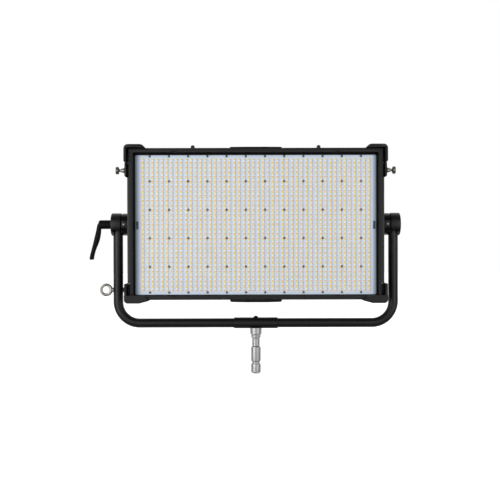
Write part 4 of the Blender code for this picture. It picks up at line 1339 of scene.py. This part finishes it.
def make_display(finishes):
    """A dark display behind a bevelled window with a fine inner frame."""
    low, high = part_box("display_window")
    half_w = (high.x - low.x) / 2
    half_h = (high.z - low.z) / 2
    centre = (0.0, (low.z + high.z) / 2)
    loops = []
    for inset, y in (
        (0.0, low.y),
        (0.0, high.y - 0.0008),
        (0.0002, high.y - 0.0003),
        (0.0007, high.y),
        (0.0040, high.y),
        (0.0042, high.y - 0.0004),
    ):
        loops.append(on_plane(rectangle(half_w - inset, half_h - inset, 0.0013, 3), "Y", y, centre))
    bm = bmesh.new()
    add_loft(bm, loops)
    stand_in("display_window", bm, finishes["gloss"], 30.0)
    screen = bmesh.new()
    outline = rectangle(half_w - 0.0043, half_h - 0.0043, 0.0008, 3)
    add_prism(screen, outline, "Y", high.y - 0.0010, high.y - 0.0003, centre)
    piece("display_screen", screen, finishes["screen"], "head", 30.0)


def fluted(radius, depth, flutes, count=96):
    """A circle with shallow grip flutes round it."""
    points = []
    for step in range(count):
        turn = 2 * math.pi * step / count
        size = radius - depth * max(0.0, math.cos(flutes * turn)) ** 2
        points.append((size * math.cos(turn), size * math.sin(turn)))
    return points


def make_turning_knobs(finishes):
    for node_name, body in (("select_knob", "select_control"), ("dimmer_knob", "dimmer_control")):
        low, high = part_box(node_name)
        centre = ((low.x + high.x) / 2, (low.z + high.z) / 2)
        radius = (high.x - low.x) / 2
        stations = [
            (low.y, 0.0030, 0.0),
            (low.y + 0.0103, 0.0030, 0.0),
            (low.y + 0.0105, radius - 0.0007, 0.0),
            (low.y + 0.0109, radius, 0.0),
            (low.y + 0.0122, radius, 0.0),
            (low.y + 0.0130, radius - 0.0004, 0.0003),
            (low.y + 0.0140, radius - 0.0005, 0.0006),
            (high.y - 0.0022, radius - 0.0010, 0.0006),
            (high.y - 0.0010, radius - 0.0015, 0.0003),
            (high.y - 0.0002, radius - 0.0024, 0.0),
            (high.y, radius - 0.0032, 0.0),
            (high.y - 0.0006, radius - 0.0045, 0.0),
            (high.y - 0.0008, 0.0040, 0.0),
        ]
        bm = bmesh.new()
        add_loft(bm, [on_plane(fluted(size, depth, 24), "Y", y, centre) for y, size, depth in stations])
        stand_in(node_name, bm, finishes["plastic"], 30.0)
        line = bmesh.new()
        outline = rectangle(0.0005, 0.0021, 0.0004, 3)
        add_prism(line, outline, "Y", high.y - 0.0012, high.y - 0.0003, (centre[0], centre[1] + 0.0062))
        piece(node_name + "_pointer", line, finishes["white_mark"], body, 30.0)


def make_buttons(finishes):
    for number in range(1, 5):
        node_name = "menu_button_" + str(number)
        low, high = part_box(node_name)
        centre = ((low.x + high.x) / 2, (low.z + high.z) / 2)
        profile = [(low.y, 0.0062), (low.y + 0.0025, 0.0062), (low.y + 0.0025, 0.0048)]
        profile += [(high.y - 0.0009, 0.0048), (high.y - 0.0004, 0.0046), (high.y - 0.0001, 0.0041)]
        profile += [(high.y, 0.0036), (high.y - 0.0004, 0.0028), (high.y - 0.0007, 0.0012)]
        turned_look(node_name, "Y", profile, finishes["rubber"], centre, 40)


def make_power_switch(finishes):
    """A curved rocker with softly rounded edges."""
    low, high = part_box("power_rocker")
    joint = JOINTS["power_rocker_tip"]["pos_m"]
    half_w = (high.x - low.x) / 2
    tilt = math.radians(10)
    face = [(0.0068, 0.0064), (0.0058, 0.0042), (0.0054, 0.0018), (0.0054, -0.0018), (0.0058, -0.0042)]
    face += [(0.0068, -0.0064), (-0.0050, -0.0064), (-0.0050, 0.0064)]
    outline = []
    for y, z in rounded(face, 0.0006, steps=3):
        outline.append((y * math.cos(tilt) - z * math.sin(tilt), y * math.sin(tilt) + z * math.cos(tilt)))
    bm = bmesh.new()
    add_prism(bm, outline, "X", joint[0] - half_w, joint[0] + half_w, (joint[1], joint[2]))
    made = stand_in("power_rocker", bm, finishes["gloss"], 30.0)
    soften(made, 0.0003, 2)


def make_socket(node_name, cavity, floor_y, flange, finishes):
    """A socket's body, soft-edged flange and cavity. Gives the cavity's centre and the flange's face."""
    low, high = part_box(node_name)
    centre = ((low.x + high.x) / 2, (low.z + high.z) / 2)
    plate = bmesh.new()
    add_prism(plate, rectangle(*flange, 0.0025, 5), "Y", high.y - 0.0018, high.y, centre)
    made = bake(soften(stand_in(node_name, plate, finishes["plastic"]), 0.0004, 3))
    core = bmesh.new()
    half_w, half_h = flange
    inner = (half_w - 0.0010, half_h - 0.0030) if half_h > half_w else (half_w - 0.0024, half_h - 0.0026)
    add_prism(core, rectangle(*inner, 0.0015, 3), "Y", low.y, high.y - 0.0012, centre)
    carve(made, "UNION", core)
    hole = bmesh.new()
    loops = [on_plane(cavity, "Y", floor_y, centre), on_plane(cavity, "Y", high.y - 0.0005, centre)]
    loops.append(on_plane([(1.05 * u, 1.05 * v) for u, v in cavity], "Y", high.y + 0.0004, centre))
    add_loft(hole, loops)
    sharpen(carve(made, "DIFFERENCE", hole))
    return centre, high.y


def make_pins(name, places, radius, span, centre, finish, round_pin=True):
    """The contacts that stand up from a socket's floor."""
    bm = bmesh.new()
    for u, v in places:
        spot = (centre[0] + u, centre[1] + v)
        if round_pin:
            profile = [(span[0], radius), (span[1] - radius, radius), (span[1], 0.4 * radius)]
            add_turned(bm, "Y", profile, spot, 20)
        else:
            outline = rectangle(radius, 2.2 * radius, 0.3 * radius, 2)
            add_prism(bm, outline, "Y", span[0], span[1], spot)
    piece(name, bm, finish, "head", 30.0)


def make_flange_screws(name, places, centre, seat, finishes):
    bm = bmesh.new()
    for u, v in places:
        add_screw(bm, "Y", 1, (centre[0] + u, centre[1] + v), seat, 0.0017, 0.0008, 0.0013)
    piece(name, bm, finishes["black_steel"], "head", 30.0)


def make_sockets(finishes):
    mains = [(-0.0115, -0.0078), (0.0115, -0.0078), (0.0115, 0.0038), (0.0075, 0.0078)]
    mains += [(-0.0075, 0.0078), (-0.0115, 0.0038)]
    mains = rounded(mains, 0.0008, steps=3)
    centre, top = make_socket("mains_inlet", mains, 0.0830, (0.0160, 0.0125), finishes)
    blades = ((-0.0070, -0.0025), (0.0070, -0.0025), (0.0, 0.0025))
    make_pins("mains_pins", blades, 0.0010, (0.0825, top - 0.0030), centre, finishes["steel"], False)

    ring = [(0.0050 * math.cos(turn), 0.0050 * math.sin(turn)) for turn in (0.6, 1.8, 3.0, 4.3, 5.6)]
    for node_name, floor_y in (("data_in_socket", 0.0830), ("data_out_socket", 0.0930)):
        centre, top = make_socket(node_name, circle(0.0088, 48), floor_y, (0.0130, 0.0150), finishes)
        corner_screws = ((-0.0100, 0.0120), (0.0100, -0.0120))
        make_flange_screws(node_name + "_screws", corner_screws, centre, top, finishes)
        if node_name == "data_in_socket":
            make_pins("data_pins", ring, 0.0007, (0.0825, top - 0.0030), centre, finishes["contact"])
        else:
            sleeves = bmesh.new()
            for u, v in ring:
                spot = (centre[0] + u, centre[1] + v)
                profile = [(floor_y - 0.0010, 0.0013), (floor_y + 0.0002, 0.0013), (floor_y + 0.0002, 0.0008)]
                profile.append((floor_y - 0.0010, 0.0008))
                add_turned(sleeves, "Y", profile, spot, 20, ring=True)
            piece("data_sleeves", sleeves, finishes["contact"], "head", 30.0)

    outline = rectangle(0.0060, 0.0052, 0.0005, 2)
    centre, top = make_socket("network_socket", outline, 0.0840, (0.0110, 0.0105), finishes)
    wires = [(-0.00357 + 0.00102 * way, 0.0020) for way in range(8)]
    span = (0.0835, top - 0.0025)
    make_pins("network_contacts", wires, 0.00028, span, centre, finishes["contact"], False)

    outline = rectangle(0.0061, 0.0024, 0.0004, 2)
    centre, top = make_socket("usb_socket", outline, 0.0840, (0.0095, 0.0060), finishes)
    tongue = bmesh.new()
    add_box(
        tongue,
        (centre[0] - 0.0052, 0.0835, centre[1] + 0.0002),
        (centre[0] + 0.0052, top - 0.0012, centre[1] + 0.0018),
    )
    made = piece("usb_tongue", tongue, finishes["white_mark"], "head")
    soften(made, 0.0002, 2)
    ways = [(-0.0036 + 0.0024 * way, 0.0) for way in range(4)]
    span = (0.0835, top - 0.0018)
    make_pins("usb_contacts", ways, 0.00045, span, centre, finishes["contact"], False)


def make_fan_rotor(node_name, body, finishes):
    """A motor cup with seven curved, twisted blades."""
    low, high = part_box(node_name)
    centre = Vector(JOINTS[body + "_spin"]["pos_m"])
    profile = [(low.y, 0.0140), (low.y + 0.0006, 0.0150), (high.y - 0.0020, 0.0150)]
    profile += [(high.y - 0.0004, 0.0142), (high.y, 0.0128)]
    bm = bmesh.new()
    add_turned(bm, "Y", profile, (centre.x, centre.z), 48)
    for blade in range(7):
        turn = 2 * math.pi * blade / 7
        loops = []
        for station in range(6):
            part = station / 5
            radius = 0.0140 + 0.0206 * part
            twist = 0.38 - 0.14 * part
            loop = []
            for step in range(14):
                along = step / 6 if step < 7 else (13 - step) / 6
                thick = 0.03 if step < 7 else -0.03
                swell = thick * math.sin(math.pi * (0.1 + 0.8 * along))
                angle = turn + 0.25 * part + twist * (2 * along - 1) + swell
                y = low.y + 0.003 + (high.y - low.y - 0.006) * along
                loop.append((centre.x + radius * math.cos(angle), y, centre.z + radius * math.sin(angle)))
            loops.append(loop)
        add_loft(bm, loops)
    stand_in(node_name, bm, finishes["plastic"], 40.0)


def make_head_back(finishes):
    make_housing(finishes)
    make_heat_sink(finishes)
    make_rear_cover(finishes)
    make_display(finishes)
    make_turning_knobs(finishes)
    make_buttons(finishes)
    make_power_switch(finishes)
    make_sockets(finishes)
    for body in ("left_fan", "right_fan"):
        make_fan_rotor(body + "_rotor", body, finishes)


# ---------------------------------------------------------------- stage


def dress(finishes):
    """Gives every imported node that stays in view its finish, and smooths its round faces."""
    by_finish = {
        "board": ("led_board",),
        "casing": ("housing", "rear_cover", "connector_plate"),
        "fins": ("heat_sink",),
        "tin": ("power_supply",),
        "circuit": ("led_driver_board", "control_board"),
        "steel": ("right_pivot_bolt",),
    }
    finish_of = {name: finish for finish, names in by_finish.items() for name in names}
    for name, made in frame["nodes"].items():
        finish = finishes[finish_of.get(name, "plastic")]
        if not made.data.materials:
            made.data.materials.append(finish)
        for slot in made.material_slots:
            slot.material = finish
        made.data.shade_smooth()
        made.data.set_sharp_from_angle(angle=math.radians(30.0))


def make_world():
    """White behind the light, and a soft studio round it for what it reflects."""
    world = bpy.data.worlds.new("studio")
    world.use_nodes = True
    bpy.context.scene.world = world
    tree = world.node_tree
    background = tree.nodes["Background"]
    coordinates = tree.nodes.new("ShaderNodeTexCoord")
    split = tree.nodes.new("ShaderNodeSeparateXYZ")
    place = tree.nodes.new("ShaderNodeMapRange")
    place.inputs["From Min"].default_value = -1.0
    ramp = tree.nodes.new("ShaderNodeValToRGB")
    steps = ((0.0, 0.68), (0.035, 0.55), (0.10, 0.20), (0.20, 0.07), (0.5, 0.14), (0.65, 0.70), (1.0, 1.0))
    elements = ramp.color_ramp.elements
    while len(elements) < len(steps):
        elements.new(0.5)
    for element, (position, level) in zip(elements, steps):
        element.position = position
        element.color = (level, level, level, 1.0)
    path = tree.nodes.new("ShaderNodeLightPath")
    mix = tree.nodes.new("ShaderNodeMix")
    mix.data_type = "RGBA"
    mix.inputs["B"].default_value = (1.0, 1.0, 1.0, 1.0)
    tree.links.new(coordinates.outputs["Generated"], split.inputs["Vector"])
    tree.links.new(split.outputs["Y"], place.inputs["Value"])
    tree.links.new(place.outputs["Result"], ramp.inputs["Fac"])
    tree.links.new(path.outputs["Is Camera Ray"], mix.inputs["Factor"])
    tree.links.new(ramp.outputs["Color"], mix.inputs["A"])
    tree.links.new(mix.outputs["Result"], background.inputs["Color"])


def add_softbox(name, azimuth, height, distance, width, tall, radiance):
    """A rectangular softbox that faces the head. Azimuth 0 is in front, and 90 on the right."""
    data = bpy.data.lights.new(name, "AREA")
    data.shape = "RECTANGLE"
    data.size = width
    data.size_y = tall
    data.energy = math.pi * width * tall * radiance
    lamp = bpy.data.objects.new(name, data)
    bpy.context.scene.collection.objects.link(lamp)
    turn = math.radians(azimuth)
    lamp.location = (distance * math.sin(turn), -distance * math.cos(turn), height)
    toward = Vector((0.0, 0.0, TILT.z)) - lamp.location
    lamp.rotation_euler = toward.to_track_quat("-Z", "Y").to_euler()


def make_lights():
    add_softbox("left_softbox", -45.0, 0.55, 2.2, 1.5, 2.3, 2.45)
    add_softbox("right_softbox", 45.0, 0.55, 2.2, 1.5, 2.3, 1.39)
    add_softbox("back_left_softbox", -140.0, 1.0, 2.6, 1.2, 2.0, 0.9)
    add_softbox("back_right_softbox", 140.0, 1.0, 2.6, 1.2, 2.0, 0.9)


def make_floor():
    """A pale studio floor just below the spigot."""
    bm = bmesh.new()
    add_box(bm, (-8.0, -8.0, -0.012), (8.0, 8.0, -0.002))
    finish = new_material("studio_floor", (0.90, 0.90, 0.90), 0.9)
    finish.node_tree.nodes["Principled BSDF"].inputs["Emission Color"].default_value = (1.0, 1.0, 1.0, 1.0)
    finish.node_tree.nodes["Principled BSDF"].inputs["Emission Strength"].default_value = 0.75
    bmesh.ops.recalc_face_normals(bm, faces=bm.faces)
    mesh = bpy.data.meshes.new("floor")
    bm.to_mesh(mesh)
    bm.free()
    mesh.materials.append(finish)
    floor = bpy.data.objects.new("floor", mesh)
    bpy.context.scene.collection.objects.link(floor)
    floor.visible_diffuse = False
    floor.visible_glossy = False


def make_camera():
    """A long lens in front of the light, level with the lower part of the head."""
    yaw, pitch, roll = 0.0029, -0.0092, -0.0022
    forward = Vector((math.sin(yaw) * math.cos(pitch), math.cos(yaw) * math.cos(pitch), math.sin(pitch)))
    right = Vector((math.cos(yaw), -math.sin(yaw), 0.0))
    up = right.cross(forward)
    across = right * math.cos(roll) + up * math.sin(roll)
    upward = up * math.cos(roll) - right * math.sin(roll)
    data = bpy.data.cameras.new("camera")
    data.lens = 62.71
    data.sensor_width = 36.0
    camera = bpy.data.objects.new("camera", data)
    bpy.context.scene.collection.objects.link(camera)
    turned = Matrix((across, upward, -forward)).transposed().to_4x4()
    turned.translation = Vector((-0.0231, -2.4471, 0.3684))
    camera.matrix_world = turned
    bpy.context.scene.camera = camera


def main():
    finishes = make_finishes()
    dress(finishes)
    make_yoke(finishes)
    make_head_front(finishes)
    make_board(finishes)
    make_head_back(finishes)
    make_world()
    make_lights()
    make_floor()
    make_camera()
    bpy.context.scene.view_settings.view_transform = "Standard"


main()
bpy.context.view_layer.update()
